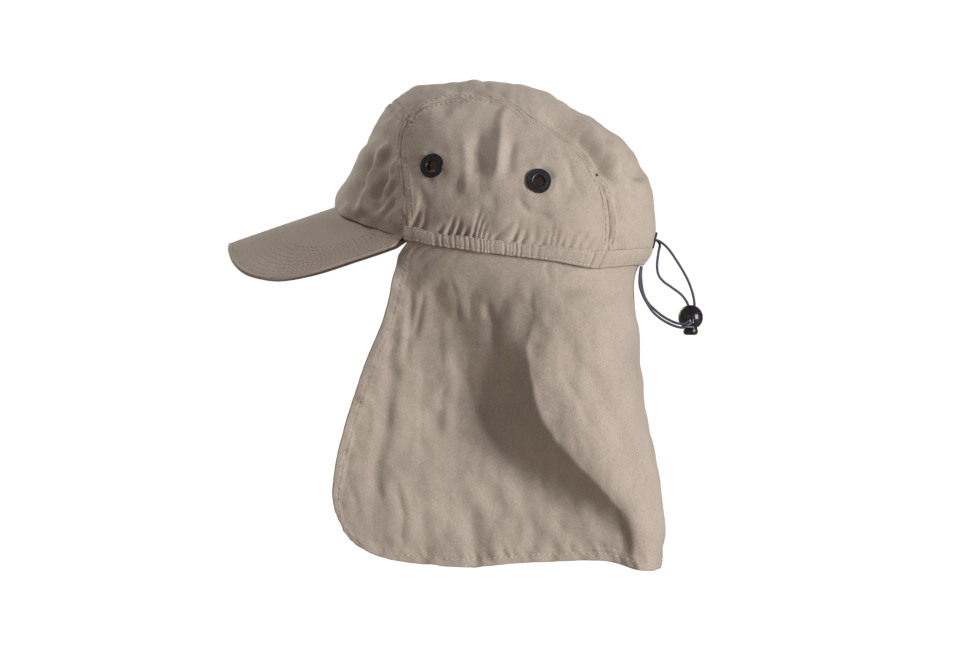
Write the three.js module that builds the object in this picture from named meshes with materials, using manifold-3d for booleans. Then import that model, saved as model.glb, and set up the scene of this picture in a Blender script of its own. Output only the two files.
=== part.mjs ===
// Legionnaire cap: a camper-style crown in four cloth panels, a curved peak, a gathered band, a neck flap
// that hangs from the band, four vent eyelets and a cord eyelet, and an elastic cord with a ball lock.
// Millimetres, +Z up. The peak points along -X and the wearer's left side faces -Y.
// The origin is the middle of the head opening, at the height of the rim.
import * as THREE from "three";
import { mergeVertices } from "three/addons/utils/BufferGeometryUtils.js";
import Module from "manifold-3d";

const wasm = await Module();
wasm.setup();

// Crown
const CROWN_FRONT = 99; // middle of the opening to the forehead
const CROWN_BACK = 100.4; // middle of the opening to the back of the head
const CROWN_HALF_WIDTH = 80;
const CROWN_HEIGHT = 112.8; // rim plane to the top
const CORE_HEIGHT = 25; // height at which the crown is widest
const PLAN_POWER = 2.3; // 2 is an ellipse, and more is squarer
const SIDE_POWER = 2.1;
const GIRTH_DROP = 90; // length along the wall, below the core, that counts as one radian of girth

// Cloth and clearances
const CLOTH = 1.2;
const GAP = 0.3;
const HEM_CLOTH = 2.2;

// Band: the casing that is sewn round the rim
const BAND_THICKNESS = 1.8;
const BAND_PROUD = 1.1; // how far its face stands out of the crown's nominal skin
const BAND_BEHIND_SEAM = 0.25; // the band begins this far behind the foot of the side seam
const GATHER_PITCH = 5.4;
const GATHER_DEPTH = 0.7;
const GATHER_END = 42; // the gathers fade out this far behind the middle

// Peak
const PEAK_LENGTH = 64.5; // tip beyond the forehead, seen from above
const PEAK_FLARE = -0.9; // how far the peak's side edges stand outside the front panel's corners
const PEAK_THICKNESS = 2.8;
const PEAK_SEAM_HEIGHT = 35.3; // seam above the rim plane at the forehead
const PEAK_DROP = 23.6; // tip below that seam
const PEAK_TUCK = 2.4; // how far the peak's inner margin runs in under the front panel

// Neck flap
const FLAP_DROP = 189.5; // rim plane to the lowest point of the hem
const FLAP_FRONT = CROWN_FRONT - 0.7; // the flap's front edge at its most forward
const FLAP_BACK = CROWN_BACK + 5.6; // the flap's back at its furthest
const FLAP_FLARE = -1; // how far the hanging flap stands outside the crown's half width
const HEM_WIDTH = 6;
const FLAP_EASE = 0.9; // how far the flap stands clear inside the band, beyond the plain gap
const FLAP_UNDER_PANELS = 1.8; // the flap's top edge lies this far below the panels' edge, behind the band

// Eyelets
const VENT_RADIUS = 7.75;
const VENT_HOLE = 3.25;
const CORD_EYELET_RADIUS = 5.2;
const CORD_EYELET_HOLE = 2.2;
const EYELET_WALL = 0.75;
const EYELET_LIP = 1.1;
const EYELET_SEAT = 0.8; // clearance between an eyelet's flange and the curved cloth
const CORD_EYELET_HEIGHT = 13.6;

// Elastic cord and its ball lock
const CORD_DIAMETER = 1.6;
const BALL_RADIUS = 7.7;
const PLUNGER_RADIUS = 4.6;
const PLUNGER_CLEARANCE = 0.35;
const PLUNGER_TRAVEL = 2.5;
const PLUNGER_REACH = 10.9; // foot of the plunger below the ball's middle
const CHANNEL_DROP = 2.4; // the cord's way through the ball, below its middle
const CHANNEL_CLEARANCE = 0.35;
const STRAND_SPACING = 2.1;
const BALL_POSITION = { x: 122.4, y: 0, z: -34.3 };

// Mesh fineness
const SEAM_LEG_STEPS = 8;
const SEAM_ARCH_STEPS = 20;
const STRIP_COLUMNS = 12;
const BAND_PLAIN_STEPS = 22;
const FLAP_COLUMNS = 40;
const FLAP_ROWS = 15;

const FLAP_HALF_WIDTH = CROWN_HALF_WIDTH + FLAP_FLARE;

const khaki = new THREE.MeshStandardMaterial({ color: 0xa99e91, roughness: 0.92, metalness: 0 });
const darkKhaki = new THREE.MeshStandardMaterial({ color: 0x9c9184, roughness: 0.9, metalness: 0 });
const blackEnamel = new THREE.MeshStandardMaterial({ color: 0x17171c, roughness: 0.4, metalness: 0.3 });
const blackPlastic = new THREE.MeshStandardMaterial({ color: 0x121218, roughness: 0.3, metalness: 0 });
const blackElastic = new THREE.MeshStandardMaterial({ color: 0x15151f, roughness: 0.7, metalness: 0 });

// Outline of the crown from the side: x as a share of the front or back length, z of the height above the core.
const CROWN_OUTLINE = [
  { x: -1.0, z: 0.0 },
  { x: -0.995, z: 0.13 },
  { x: -0.945, z: 0.25 },
  { x: -0.889, z: 0.364 },
  { x: -0.82, z: 0.506 },
  { x: -0.745, z: 0.647 },
  { x: -0.672, z: 0.788 },
  { x: -0.616, z: 0.862 },
  { x: -0.526, z: 0.929 },
  { x: -0.338, z: 0.965 },
  { x: -0.057, z: 1.0 },
  { x: 0.13, z: 0.973 },
  { x: 0.315, z: 0.909 },
  { x: 0.5, z: 0.796 },
  { x: 0.685, z: 0.669 },
  { x: 0.79, z: 0.585 },
  { x: 0.875, z: 0.478 },
  { x: 0.935, z: 0.37 },
  { x: 0.974, z: 0.255 },
  { x: 0.992, z: 0.13 },
  { x: 1.0, z: 0.0 },
];

// Reach of the wall below the core, by depth below it as a share of the core's height.
const LOWER_WALL = [
  { depth: 0.0, front: 1.0, back: 1.0, side: 1.0 },
  { depth: 0.55, front: 0.996, back: 0.994, side: 0.996 },
  { depth: 0.8, front: 0.992, back: 0.966, side: 0.99 },
  { depth: 1.0, front: 0.99, back: 0.935, side: 0.983 },
  { depth: 1.2, front: 0.985, back: 0.908, side: 0.976 },
  { depth: 1.6, front: 0.98, back: 0.885, side: 0.966 },
];

// Seam between the side panel and the panels over the head: x as a share of the front or back length, z of the height.
const SIDE_SEAM = [
  { x: -0.551, z: 0.127 },
  { x: -0.541, z: 0.23 },
  { x: -0.549, z: 0.4 },
  { x: -0.571, z: 0.58 },
  { x: -0.566, z: 0.66 },
  { x: -0.526, z: 0.759 },
  { x: -0.426, z: 0.838 },
  { x: -0.288, z: 0.878 },
  { x: -0.113, z: 0.887 },
  { x: 0.074, z: 0.863 },
  { x: 0.235, z: 0.76 },
  { x: 0.401, z: 0.682 },
  { x: 0.556, z: 0.577 },
  { x: 0.624, z: 0.473 },
  { x: 0.679, z: 0.379 },
  { x: 0.71, z: 0.23 },
  { x: 0.707, z: 0.018 },
];
const FRONT_SHOULDER = 0.277; // share of that seam at which the front and top panels meet
const BACK_SHOULDER = 0.8;

// Lower and upper edge of the band: x as a share of the front or back length, heights as shares of the core's height.
const BAND_LINES = [
  { x: -0.57, low: 0.544, high: 0.87 },
  { x: -0.504, low: 0.484, high: 0.835 },
  { x: -0.333, low: 0.364, high: 0.672 },
  { x: -0.134, low: 0.244, high: 0.58 },
  { x: 0.166, low: 0.108, high: 0.436 },
  { x: 0.413, low: -0.012, high: 0.356 },
  { x: 0.69, low: -0.172, high: 0.272 },
  { x: 0.78, low: -0.13, high: 0.285 },
  { x: 0.95, low: -0.07, high: 0.34 },
];
const PANEL_FOOT_SHARE = 0.62; // the crown's panels end behind the band at this share of its height

// Outer edge of the peak from the tip to the corner: out as a share of the peak's length beyond the forehead,
// across of its half width at the corners, down of its drop.
const PEAK_EDGE = [
  { across: 0.0, out: 1.0, down: 1.0 },
  { across: 0.37, out: 0.99, down: 1.17 },
  { across: 0.66, out: 0.93, down: 1.5 },
  { across: 0.83, out: 0.79, down: 1.79 },
  { across: 0.925, out: 0.55, down: 1.91 },
  { across: 0.968, out: 0.2, down: 1.75 },
  { across: 0.982, out: -0.21, down: 1.4 },
  { across: 1.0, out: -0.6, down: 1.06 },
];

// Neck flap by share of its drop: outline and fold lines seen from the side as shares of the front or back reach,
// and how far out of the middle plane the edge, valley and ridge stand as shares of the half width.
const FLAP_ROWS_TABLE = [
  { t: 0.0, front: -0.54, valley: -0.45, ridge: 0.19, back: 0.86, edgeOut: 0.88, valleyOut: 0.93, ridgeOut: 0.98 },
  { t: 0.1, front: -0.618, valley: -0.51, ridge: 0.24, back: 0.838, edgeOut: 0.86, valleyOut: 0.89, ridgeOut: 1.0 },
  { t: 0.2, front: -0.65, valley: -0.42, ridge: 0.24, back: 0.849, edgeOut: 0.845, valleyOut: 0.82, ridgeOut: 1.0 },
  { t: 0.3, front: -0.706, valley: -0.28, ridge: 0.2, back: 0.858, edgeOut: 0.835, valleyOut: 0.75, ridgeOut: 0.99 },
  { t: 0.4, front: -0.782, valley: -0.155, ridge: 0.217, back: 0.877, edgeOut: 0.835, valleyOut: 0.69, ridgeOut: 0.98 },
  { t: 0.55, front: -0.874, valley: -0.05, ridge: 0.297, back: 0.915, edgeOut: 0.85, valleyOut: 0.63, ridgeOut: 0.96 },
  { t: 0.7, front: -0.952, valley: 0.113, ridge: 0.509, back: 0.962, edgeOut: 0.88, valleyOut: 0.63, ridgeOut: 0.88 },
  { t: 0.8, front: -0.988, valley: 0.311, ridge: 0.689, back: 0.985, edgeOut: 0.91, valleyOut: 0.65, ridgeOut: 0.78 },
  { t: 0.9, front: -0.995, valley: 0.62, ridge: 0.79, back: 0.998, edgeOut: 0.935, valleyOut: 0.63, ridgeOut: 0.67 },
  { t: 1.0, front: -0.932, valley: 0.7, ridge: 0.835, back: 0.967, edgeOut: 0.95, valleyOut: 0.6, ridgeOut: 0.63 },
];

// Height of the flap's lower edge, by x as a share of the front or back reach, as a share of the drop.
const FLAP_HEM = [
  { x: -0.932, drop: 0.869 },
  { x: -0.852, drop: 0.914 },
  { x: -0.782, drop: 0.935 },
  { x: -0.69, drop: 0.954 },
  { x: -0.59, drop: 0.967 },
  { x: -0.43, drop: 0.977 },
  { x: -0.14, drop: 0.989 },
  { x: 0.123, drop: 0.977 },
  { x: 0.387, drop: 0.97 },
  { x: 0.65, drop: 0.97 },
  { x: 0.755, drop: 0.984 },
  { x: 0.83, drop: 0.998 },
  { x: 0.915, drop: 1.003 },
  { x: 0.967, drop: 0.998 },
];

// Furrows pressed into the crown, seen from the side: x as a share of the front or back length, z of the height.
const CROWN_FURROWS = [
  { depth: 5.2, width: 5.5, path: [[0.27, 0.8], [0.4, 0.755], [0.53, 0.68], [0.645, 0.56], [0.76, 0.415]] },
  { depth: 4.2, width: 5.5, path: [[0.63, 0.73], [0.71, 0.655], [0.83, 0.545], [0.955, 0.46]] },
  { depth: -2.2, width: 5, path: [[0.5, 0.79], [0.66, 0.69], [0.74, 0.575], [0.8, 0.5]] },
  { depth: 3, width: 6, path: [[-0.66, 0.72], [-0.72, 0.61], [-0.79, 0.48], [-0.83, 0.36]] },
  { depth: 2, width: 5, path: [[-0.6, 0.61], [-0.68, 0.53], [-0.7, 0.4]] },
  { depth: -1.8, width: 7, path: [[0.09, 0.8], [0.05, 0.66], [0.02, 0.48], [0.06, 0.34]] },
  { depth: 1.6, width: 7, path: [[-0.08, 0.74], [-0.06, 0.6], [-0.1, 0.42]] },
  { depth: 1.4, width: 7, path: [[0.36, 0.44], [0.44, 0.38], [0.56, 0.42]] },
];

// Furrows of the flap: x as a share of the front or back reach, z of the drop.
const FLAP_FURROWS = [
  { depth: 2.2, width: 5, path: [[-0.6, -0.12], [-0.63, -0.28], [-0.66, -0.5], [-0.73, -0.68], [-0.74, -0.84]] },
  { depth: 3, width: 8, path: [[0.37, -0.25], [0.6, -0.42], [0.74, -0.6], [0.83, -0.78]] },
  { depth: 2.2, width: 6, path: [[0.34, -0.09], [0.55, -0.085], [0.8, -0.08]] },
  { depth: 2.6, width: 7, path: [[-0.16, -0.78], [-0.12, -0.88], [-0.08, -1.0]] },
  { depth: 1.8, width: 6, path: [[-0.44, -0.78], [-0.43, -0.88], [-0.4, -0.99]] },
];

// Routes of the two strands, chosen by hand, from the cord eyelet through the ball and back under the band.
const OUTER_STRAND = [
  [99.2, -1, 13.6], [102.2, -1.1, 13.3], [107.5, -1.2, 9.4], [114.7, -0.4, -0.6], [120.9, 1.6, -11.5],
  [124, 4, -20.2], [125, 6.8, -26.4], [124.6, 9.3, -30.6], [123.9, 10.2, -33.3], [123.5, 9.3, -35.6],
  [123.45, 6.9, -36.7], [123.45, 0, -36.7], [123.45, -6.9, -36.7], [122.9, -9.9, -37.4], [120.7, -11.8, -39],
  [117.4, -12.2, -40.6], [113.2, -11.4, -39.9], [107.8, -10.2, -37.6], [102.6, -9.6, -34.3], [98.5, -9.8, -30.4],
  [95.5, -10.6, -25.9], [92.8, -11.5, -21], [90.7, -12.1, -14.7], [90.7, -12.4, -8.2], [91.5, -12.4, -2.6],
];
const INNER_STRAND = [
  [99.2, 1, 13.6], [101.6, 1, 13.3], [103.3, 1.1, 11.1], [102.6, 1.2, 6.2], [101.7, 1.3, -2],
  [102.6, 1.8, -7.9], [105.8, 2.7, -12.1], [111.3, 4, -16], [117.2, 5.8, -20.6], [121, 8, -26.4],
  [121.3, 9.8, -31], [121.35, 10, -33.5], [121.35, 9.2, -35.6],
  [121.35, 6.9, -36.7], [121.35, 0, -36.7], [121.35, -6.9, -36.7], [120.8, -9, -36.9], [118.3, -10.3, -38.3],
  [113.9, -10.2, -37.9], [108.8, -9.2, -35.8], [103.8, -8.6, -32.7], [99.7, -8.4, -29.2], [96.1, -8.6, -25.5],
  [93.5, -9.5, -20.8], [92, -10.5, -14.5], [91.5, -10.3, -8.2], [91.9, -10.3, -2.6],
];

// Reads a table of rows smoothly at any value of one column, and gives the other columns there.
function smoothTable(rows, by) {
  const names = Object.keys(rows[0]).filter((name) => name !== by);
  const values = rows.flatMap((row) => names.map((name) => row[name]));
  const curve = new THREE.CubicInterpolant(rows.map((row) => row[by]), values, names.length);
  return (at) => {
    const read = curve.evaluate(at);
    return Object.fromEntries(names.map((name, i) => [name, read[i]]));
  };
}

const smooth = (low, high, value) => THREE.MathUtils.smoothstep(value, low, high);
const mix = THREE.MathUtils.lerp;

// A share of the front length ahead of the middle, or of the back length behind it.
const stationOf = (share, front, back) => share * (share < 0 ? front : back);
const shareOf = (x, front, back) => x / (x < 0 ? front : back);

const OUTLINE_RISE = CROWN_HEIGHT - CORE_HEIGHT;
const outlineRadius = smoothTable(
  CROWN_OUTLINE.map(({ x, z }) => {
    const out = stationOf(x, CROWN_FRONT, CROWN_BACK);
    const up = z * OUTLINE_RISE;
    return { angle: Math.atan2(up, -out), radius: Math.hypot(out, up) };
  }),
  "angle",
);
const lowerWall = smoothTable(LOWER_WALL, "depth");
const bandLines = smoothTable(BAND_LINES, "x");

function bandHeights(x) {
  const { low, high } = bandLines(shareOf(x, CROWN_FRONT, CROWN_BACK));
  return { low: low * CORE_HEIGHT, high: high * CORE_HEIGHT };
}

// The crown's nominal skin. girth runs from the front, over the top, to the back, in radians round the core,
// and goes on down the wall below it; across is 0 in the middle plane and 90 degrees over the ear.
function crownSkin(girth, across) {
  const rho = Math.pow(Math.max(0, Math.cos(across)), 2 / PLAN_POWER);
  const over = Math.pow(Math.abs(Math.sin(across)), 2 / SIDE_POWER) * Math.sign(across);
  const past = girth < 0 ? -girth : girth - Math.PI;
  if (past <= 0) {
    const { radius } = outlineRadius(girth);
    return new THREE.Vector3(
      -Math.cos(girth) * radius * rho,
      over * CROWN_HALF_WIDTH,
      CORE_HEIGHT + Math.sin(girth) * radius * rho,
    );
  }
  const wall = lowerWall((past * GIRTH_DROP) / CORE_HEIGHT);
  const reach = girth < 0 ? -CROWN_FRONT * wall.front : CROWN_BACK * wall.back;
  return new THREE.Vector3(reach * rho, over * CROWN_HALF_WIDTH * wall.side, CORE_HEIGHT - past * GIRTH_DROP);
}

// The girth and the across angle of the point of the skin that shows at x, z from the side.
function girthOf(x, z) {
  if (z >= CORE_HEIGHT) {
    const girth = Math.atan2(z - CORE_HEIGHT, -x);
    const rho = Math.min(1, Math.hypot(x, z - CORE_HEIGHT) / outlineRadius(girth).radius);
    return { girth, across: Math.acos(Math.pow(rho, PLAN_POWER / 2)) };
  }
  const past = (CORE_HEIGHT - z) / GIRTH_DROP;
  const wall = lowerWall((CORE_HEIGHT - z) / CORE_HEIGHT);
  const reach = x < 0 ? CROWN_FRONT * wall.front : CROWN_BACK * wall.back;
  const rho = Math.min(1, Math.abs(x) / reach);
  return { girth: x < 0 ? -past : Math.PI + past, across: Math.acos(Math.pow(rho, PLAN_POWER / 2)) };
}

// How far the furrows of a list press in at a point seen from the side.
function furrowDepth(furrows, x, z, front, back, height) {
  let pressed = 0;
  for (const { depth, width, path } of furrows) {
    const points = path.map(([px, pz]) => new THREE.Vector2(stationOf(px, front, back), pz * height));
    let nearest = Infinity;
    let place = 0;
    for (let i = 0; i + 1 < points.length; i += 1) {
      const leg = points[i + 1].clone().sub(points[i]);
      const from = new THREE.Vector2(x, z).sub(points[i]);
      const share = THREE.MathUtils.clamp(from.dot(leg) / leg.lengthSq(), 0, 1);
      const distance = from.sub(leg.multiplyScalar(share)).length();
      if (distance < nearest) {
        nearest = distance;
        place = (i + share) / (points.length - 1);
      }
    }
    const fade = smooth(-0.05, 0.3, place) * (1 - smooth(0.8, 1.05, place));
    pressed += depth * fade * Math.exp(-((nearest / width) ** 2));
  }
  return pressed;
}

// How far the cloth of the crown stands inside the nominal skin: it tucks in behind the band, and the furrows press in.
function crownInset(point) {
  const { high } = bandHeights(point.x);
  const corner = stationOf(SIDE_SEAM[0].x, CROWN_FRONT, CROWN_BACK);
  const behindBand = smooth(corner * 1.12, corner, point.x);
  const tuck = (BAND_THICKNESS - BAND_PROUD + GAP) * behindBand * (1 - smooth(high + 3, high + 13, point.z));
  const away = smooth(high, high + 12, point.z);
  return tuck + away * furrowDepth(CROWN_FURROWS, point.x, point.z, CROWN_FRONT, CROWN_BACK, CROWN_HEIGHT);
}

// A point of the crown's cloth and its outward normal, from girth and across.
function crownCloth(girth, across) {
  const step = 1e-3;
  const point = crownSkin(girth, across);
  const alongGirth = crownSkin(girth + step, across).sub(crownSkin(girth - step, across));
  const alongAcross = crownSkin(girth, across + step).sub(crownSkin(girth, across - step));
  const normal = alongGirth.cross(alongAcross).normalize();
  const outward = new THREE.Vector3(point.x, point.y, point.z - CORE_HEIGHT * 0.5);
  if (normal.dot(outward) < 0) normal.negate();
  return { point: point.addScaledVector(normal, -crownInset(point)), normal };
}

// The same for a point seen from the side, where side is -1 on the wearer's left and 1 on the right.
function sideCloth(x, z, side) {
  const over = (px, pz) => {
    const { girth, across } = girthOf(px, pz);
    return Math.abs(crownSkin(girth, across).y);
  };
  const step = 0.05;
  const y = over(x, z);
  const slopeX = (over(x + step, z) - over(x - step, z)) / (2 * step);
  const slopeZ = (over(x, z + step) - over(x, z - step)) / (2 * step);
  const normal = new THREE.Vector3(-slopeX, side, -slopeZ).normalize();
  const point = new THREE.Vector3(x, side * y, z);
  return { point: point.addScaledVector(normal, -crownInset(point)), normal };
}

// A closed sheet: a box whose two large faces are the cloth's outer and inner face.
// place(u, v) gives the point and normal; out and deep give how far each face lies from it.
function sheetGeometry(columns, rows, place, faces) {
  const box = new THREE.BoxGeometry(1, 1, 1, columns, rows, 1);
  const position = box.getAttribute("position");
  for (let i = 0; i < position.count; i += 1) {
    const u = position.getX(i) + 0.5;
    const v = position.getY(i) + 0.5;
    const { point, normal } = place(u, v);
    const { out, deep } = faces(u, v);
    const moved = point.clone().addScaledVector(normal, position.getZ(i) > 0 ? out : -deep);
    position.setXYZ(i, moved.x, moved.y, moved.z);
  }
  return closed(box);
}

const plainCloth = () => ({ out: 0, deep: CLOTH });

// Merges a geometry's vertices so that it is one closed surface.
function closed(geometry) {
  const bare = geometry.clone();
  bare.deleteAttribute("normal");
  bare.deleteAttribute("uv");
  return mergeVertices(bare, 1e-3);
}

function toSolid(geometry) {
  const whole = closed(geometry);
  const solid = new wasm.Manifold(
    new wasm.Mesh({
      numProp: 3,
      vertProperties: new Float32Array(whole.attributes.position.array),
      triVerts: new Uint32Array(whole.index.array),
    }),
  );
  return solid;
}

function toGeometry(solid) {
  const { vertProperties, triVerts } = solid.getMesh();
  const geometry = new THREE.BufferGeometry();
  geometry.setAttribute("position", new THREE.BufferAttribute(vertProperties, 3));
  geometry.setIndex(new THREE.BufferAttribute(triVerts, 1));
  geometry.computeVertexNormals();
  return geometry;
}

const cap = new THREE.Group();

function addPiece(name, geometry, material) {
  const mesh = new THREE.Mesh(geometry, material);
  mesh.name = name;
  cap.add(mesh);
  return mesh;
}

// Turns a shape made round +Z so that it stands on a surface at a point, with +Z along the normal.
function standOn(geometry, point, normal) {
  const turn = new THREE.Quaternion().setFromUnitVectors(new THREE.Vector3(0, 0, 1), normal);
  return geometry.clone().applyQuaternion(turn).translate(point.x, point.y, point.z);
}

// The seam of the side panel as a curve seen from the side, read at a share of its steps.
const seamCurve = new THREE.CatmullRomCurve3(
  SIDE_SEAM.map(({ x, z }) => new THREE.Vector3(stationOf(x, CROWN_FRONT, CROWN_BACK), 0, z * CROWN_HEIGHT)),
);
const SEAM_STEPS = 2 * SEAM_LEG_STEPS + SEAM_ARCH_STEPS;

function seamPoint(step) {
  if (step <= SEAM_LEG_STEPS) return seamCurve.getPointAt((FRONT_SHOULDER * step) / SEAM_LEG_STEPS);
  if (step <= SEAM_LEG_STEPS + SEAM_ARCH_STEPS) {
    return seamCurve.getPointAt(mix(FRONT_SHOULDER, BACK_SHOULDER, (step - SEAM_LEG_STEPS) / SEAM_ARCH_STEPS));
  }
  return seamCurve.getPointAt(mix(BACK_SHOULDER, 1, (step - SEAM_LEG_STEPS - SEAM_ARCH_STEPS) / SEAM_LEG_STEPS));
}

// Height of the panels' lower edge behind the band. It comes down to the seam's foot at the peak's corner.
function panelFoot(x) {
  const { low, high } = bandHeights(x);
  const corner = seamPoint(0);
  const cornerBand = bandHeights(corner.x);
  const drop = mix(cornerBand.low, cornerBand.high, PANEL_FOOT_SHARE) - corner.z;
  return mix(low, high, PANEL_FOOT_SHARE) - drop * (1 - smooth(corner.x, corner.x * 0.7, x));
}

// The back foot of the seam ends on the panels' lower edge.
function seamOnCrown(step) {
  const point = seamPoint(step);
  const footStart = SEAM_LEG_STEPS + SEAM_ARCH_STEPS;
  if (step > footStart) {
    const share = (step - footStart) / SEAM_LEG_STEPS;
    const foot = seamPoint(SEAM_STEPS);
    point.z += (panelFoot(foot.x) - foot.z) * share * share;
  }
  return point;
}

// Side panel: a patch between the rim line and the seam, with a vent eyelet's holes cut through it.
function sidePanel(side) {
  const centre = new THREE.Vector3(CROWN_BACK * 0.05, 0, CROWN_HEIGHT * 0.5);
  const inward = (point) => {
    const toCentre = centre.clone().sub(point).normalize();
    return point.clone().addScaledVector(toCentre, GAP / 2);
  };
  const corner = (step) => inward(seamOnCrown(step));
  const frontFoot = corner(0);
  const backFoot = corner(SEAM_STEPS);
  const bottom = (u) => {
    const x = mix(frontFoot.x, backFoot.x, u);
    const lift = mix(frontFoot.z - panelFoot(frontFoot.x), backFoot.z - panelFoot(backFoot.x), u);
    return new THREE.Vector3(x, 0, panelFoot(x) + lift);
  };
  const top = (u) => corner(SEAM_LEG_STEPS + u * SEAM_ARCH_STEPS);
  const front = (v) => corner(v * SEAM_LEG_STEPS);
  const back = (v) => corner(SEAM_STEPS - v * SEAM_LEG_STEPS);
  const place = (u, v) => {
    const point = bottom(u).multiplyScalar(1 - v).addScaledVector(top(u), v);
    point.addScaledVector(front(v), 1 - u).addScaledVector(back(v), u);
    point.addScaledVector(bottom(0), -(1 - u) * (1 - v)).addScaledVector(bottom(1), -u * (1 - v));
    point.addScaledVector(top(0), -(1 - u) * v).addScaledVector(top(1), -u * v);
    return sideCloth(point.x, point.z, side);
  };
  // Seen from the wearer's right the patch is mirrored, so its columns run the other way.
  const turned = side < 0 ? place : (u, v) => place(1 - u, v);
  let solid = toSolid(sheetGeometry(SEAM_ARCH_STEPS, SEAM_LEG_STEPS, turned, plainCloth));
  for (const vent of ventPlaces(side)) solid = solid.subtract(eyeletHole(vent, VENT_HOLE));
  return toGeometry(solid);
}

// Vent eyelets, seen from the side: x as a share of the front or back length, z of the height.
const VENTS = [
  { name: "front", x: -0.376, z: 0.517 },
  { name: "back", x: 0.278, z: 0.434 },
];
const RIGHT_VENT_SHIFT = 9; // the right side's eyelets sit this far ahead, as no light shows through both sides

// Where an eyelet sits: the middle of four points of the cloth under its rim, square to them.
function seatOn(cloth, a, b, reachA, reachB) {
  const [a0, a1, b0, b1] = [cloth(a - reachA, b), cloth(a + reachA, b), cloth(a, b - reachB), cloth(a, b + reachB)];
  const normal = a1.point.clone().sub(a0.point).cross(b1.point.clone().sub(b0.point)).normalize();
  if (normal.dot(a0.normal) < 0) normal.negate();
  const rim = a0.point.add(a1.point).add(b0.point).add(b1.point).multiplyScalar(0.25);
  return { point: rim.lerp(cloth(a, b).point, 0.5), normal };
}

function ventPlaces(side) {
  const cloth = (x, z) => sideCloth(x, z, side);
  const shift = side > 0 ? -RIGHT_VENT_SHIFT : 0;
  return VENTS.map(({ name, x, z }) => {
    const station = stationOf(x, CROWN_FRONT, CROWN_BACK) + shift;
    return { name, ...seatOn(cloth, station, z * CROWN_HEIGHT, VENT_RADIUS, VENT_RADIUS) };
  });
}

// An eyelet: a rolled ring with a barrel through the cloth and a washer behind it.
function eyelet({ point, normal }, radius, hole, sides) {
  const barrel = hole + EYELET_WALL;
  const washer = -CLOTH - EYELET_SEAT;
  const profile = [
    [hole, washer - EYELET_WALL],
    [mix(barrel, radius, 0.7), washer - EYELET_WALL],
    [mix(barrel, radius, 0.7), washer],
    [barrel, washer],
    [barrel, EYELET_SEAT],
    [radius, EYELET_SEAT],
    [radius - EYELET_LIP * 0.3, EYELET_SEAT + EYELET_LIP * 0.7],
    [mix(barrel, radius, 0.4), EYELET_SEAT + EYELET_LIP],
    [hole, EYELET_SEAT + EYELET_LIP * 0.6],
    [hole, washer - EYELET_WALL],
  ].map(([r, h]) => new THREE.Vector2(r, h));
  const ring = new THREE.LatheGeometry(profile, sides).rotateX(Math.PI / 2);
  return toGeometry(toSolid(standOn(ring, point, normal)));
}

function eyeletHole({ point, normal }, hole) {
  const drill = new THREE.CylinderGeometry(hole + EYELET_WALL + GAP, hole + EYELET_WALL + GAP, CLOTH * 12, 16);
  return toSolid(standOn(drill.rotateX(Math.PI / 2), point, normal));
}

// The panels over the head are strips between the two side seams, a row for each step of the seam.
function stripRow(step) {
  const seam = seamOnCrown(step);
  const { girth, across } = girthOf(seam.x, seam.z);
  const edge = { girth, across: across - GAP / 2 / CROWN_HALF_WIDTH };
  const toShoulder = 1 - step / SEAM_LEG_STEPS;
  const toFoot = (step - SEAM_LEG_STEPS - SEAM_ARCH_STEPS) / SEAM_LEG_STEPS;
  if (toShoulder > 0) {
    const forehead = Math.atan2(PEAK_SEAM_HEIGHT - CORE_HEIGHT, CROWN_FRONT);
    const shoulder = seamPoint(SEAM_LEG_STEPS);
    return { ...edge, middle: mix(girthOf(shoulder.x, shoulder.z).girth, forehead, toShoulder) };
  }
  if (toFoot > 0) {
    const nape = Math.PI + (CORE_HEIGHT - panelFoot(CROWN_BACK)) / GIRTH_DROP;
    const shoulder = seamPoint(SEAM_LEG_STEPS + SEAM_ARCH_STEPS);
    return { ...edge, middle: mix(girthOf(shoulder.x, shoulder.z).girth, nape, toFoot) };
  }
  return { ...edge, middle: girth };
}

function stripCloth(step, share) {
  const low = Math.floor(Math.min(step, SEAM_STEPS - 1e-6));
  const a = stripRow(low);
  const b = stripRow(low + 1);
  const between = step - low;
  const width = mix(a.across, b.across, between);
  const girthAtSeam = mix(a.girth, b.girth, between);
  const girthInMiddle = mix(a.middle, b.middle, between);
  const q = Math.abs(share);
  return crownCloth(mix(girthInMiddle, girthAtSeam, Math.pow(q, 1.25)), share * width);
}

// One strip panel from one step of the seam to another, with a gap at an end that meets another piece.
function stripPanel(fromStep, toStep, fromGap, toGap) {
  const rows = toStep - fromStep;
  const place = (u, v) => {
    let step = mix(fromStep, toStep, v);
    if (v === 0) step += fromGap;
    if (v === 1) step -= toGap;
    return stripCloth(step, 1 - 2 * u);
  };
  return sheetGeometry(STRIP_COLUMNS, rows, place, plainCloth);
}

const stepOfLength = (length, step) => length / seamPoint(step).distanceTo(seamPoint(step + 1));

function frontPanel() {
  return stripPanel(0, SEAM_LEG_STEPS, 0, stepOfLength(GAP / 2, SEAM_LEG_STEPS - 1));
}

function cordEyeletPlace() {
  const girth = Math.PI + (CORE_HEIGHT - CORD_EYELET_HEIGHT) / GIRTH_DROP;
  const reach = CORD_EYELET_RADIUS;
  return seatOn(crownCloth, girth, 0, reach / GIRTH_DROP, reach / CROWN_HALF_WIDTH);
}

function topPanel() {
  const cloth = stripPanel(SEAM_LEG_STEPS, SEAM_STEPS, stepOfLength(GAP / 2, SEAM_LEG_STEPS), 0);
  return toGeometry(toSolid(cloth).subtract(eyeletHole(cordEyeletPlace(), CORD_EYELET_HOLE)));
}

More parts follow.
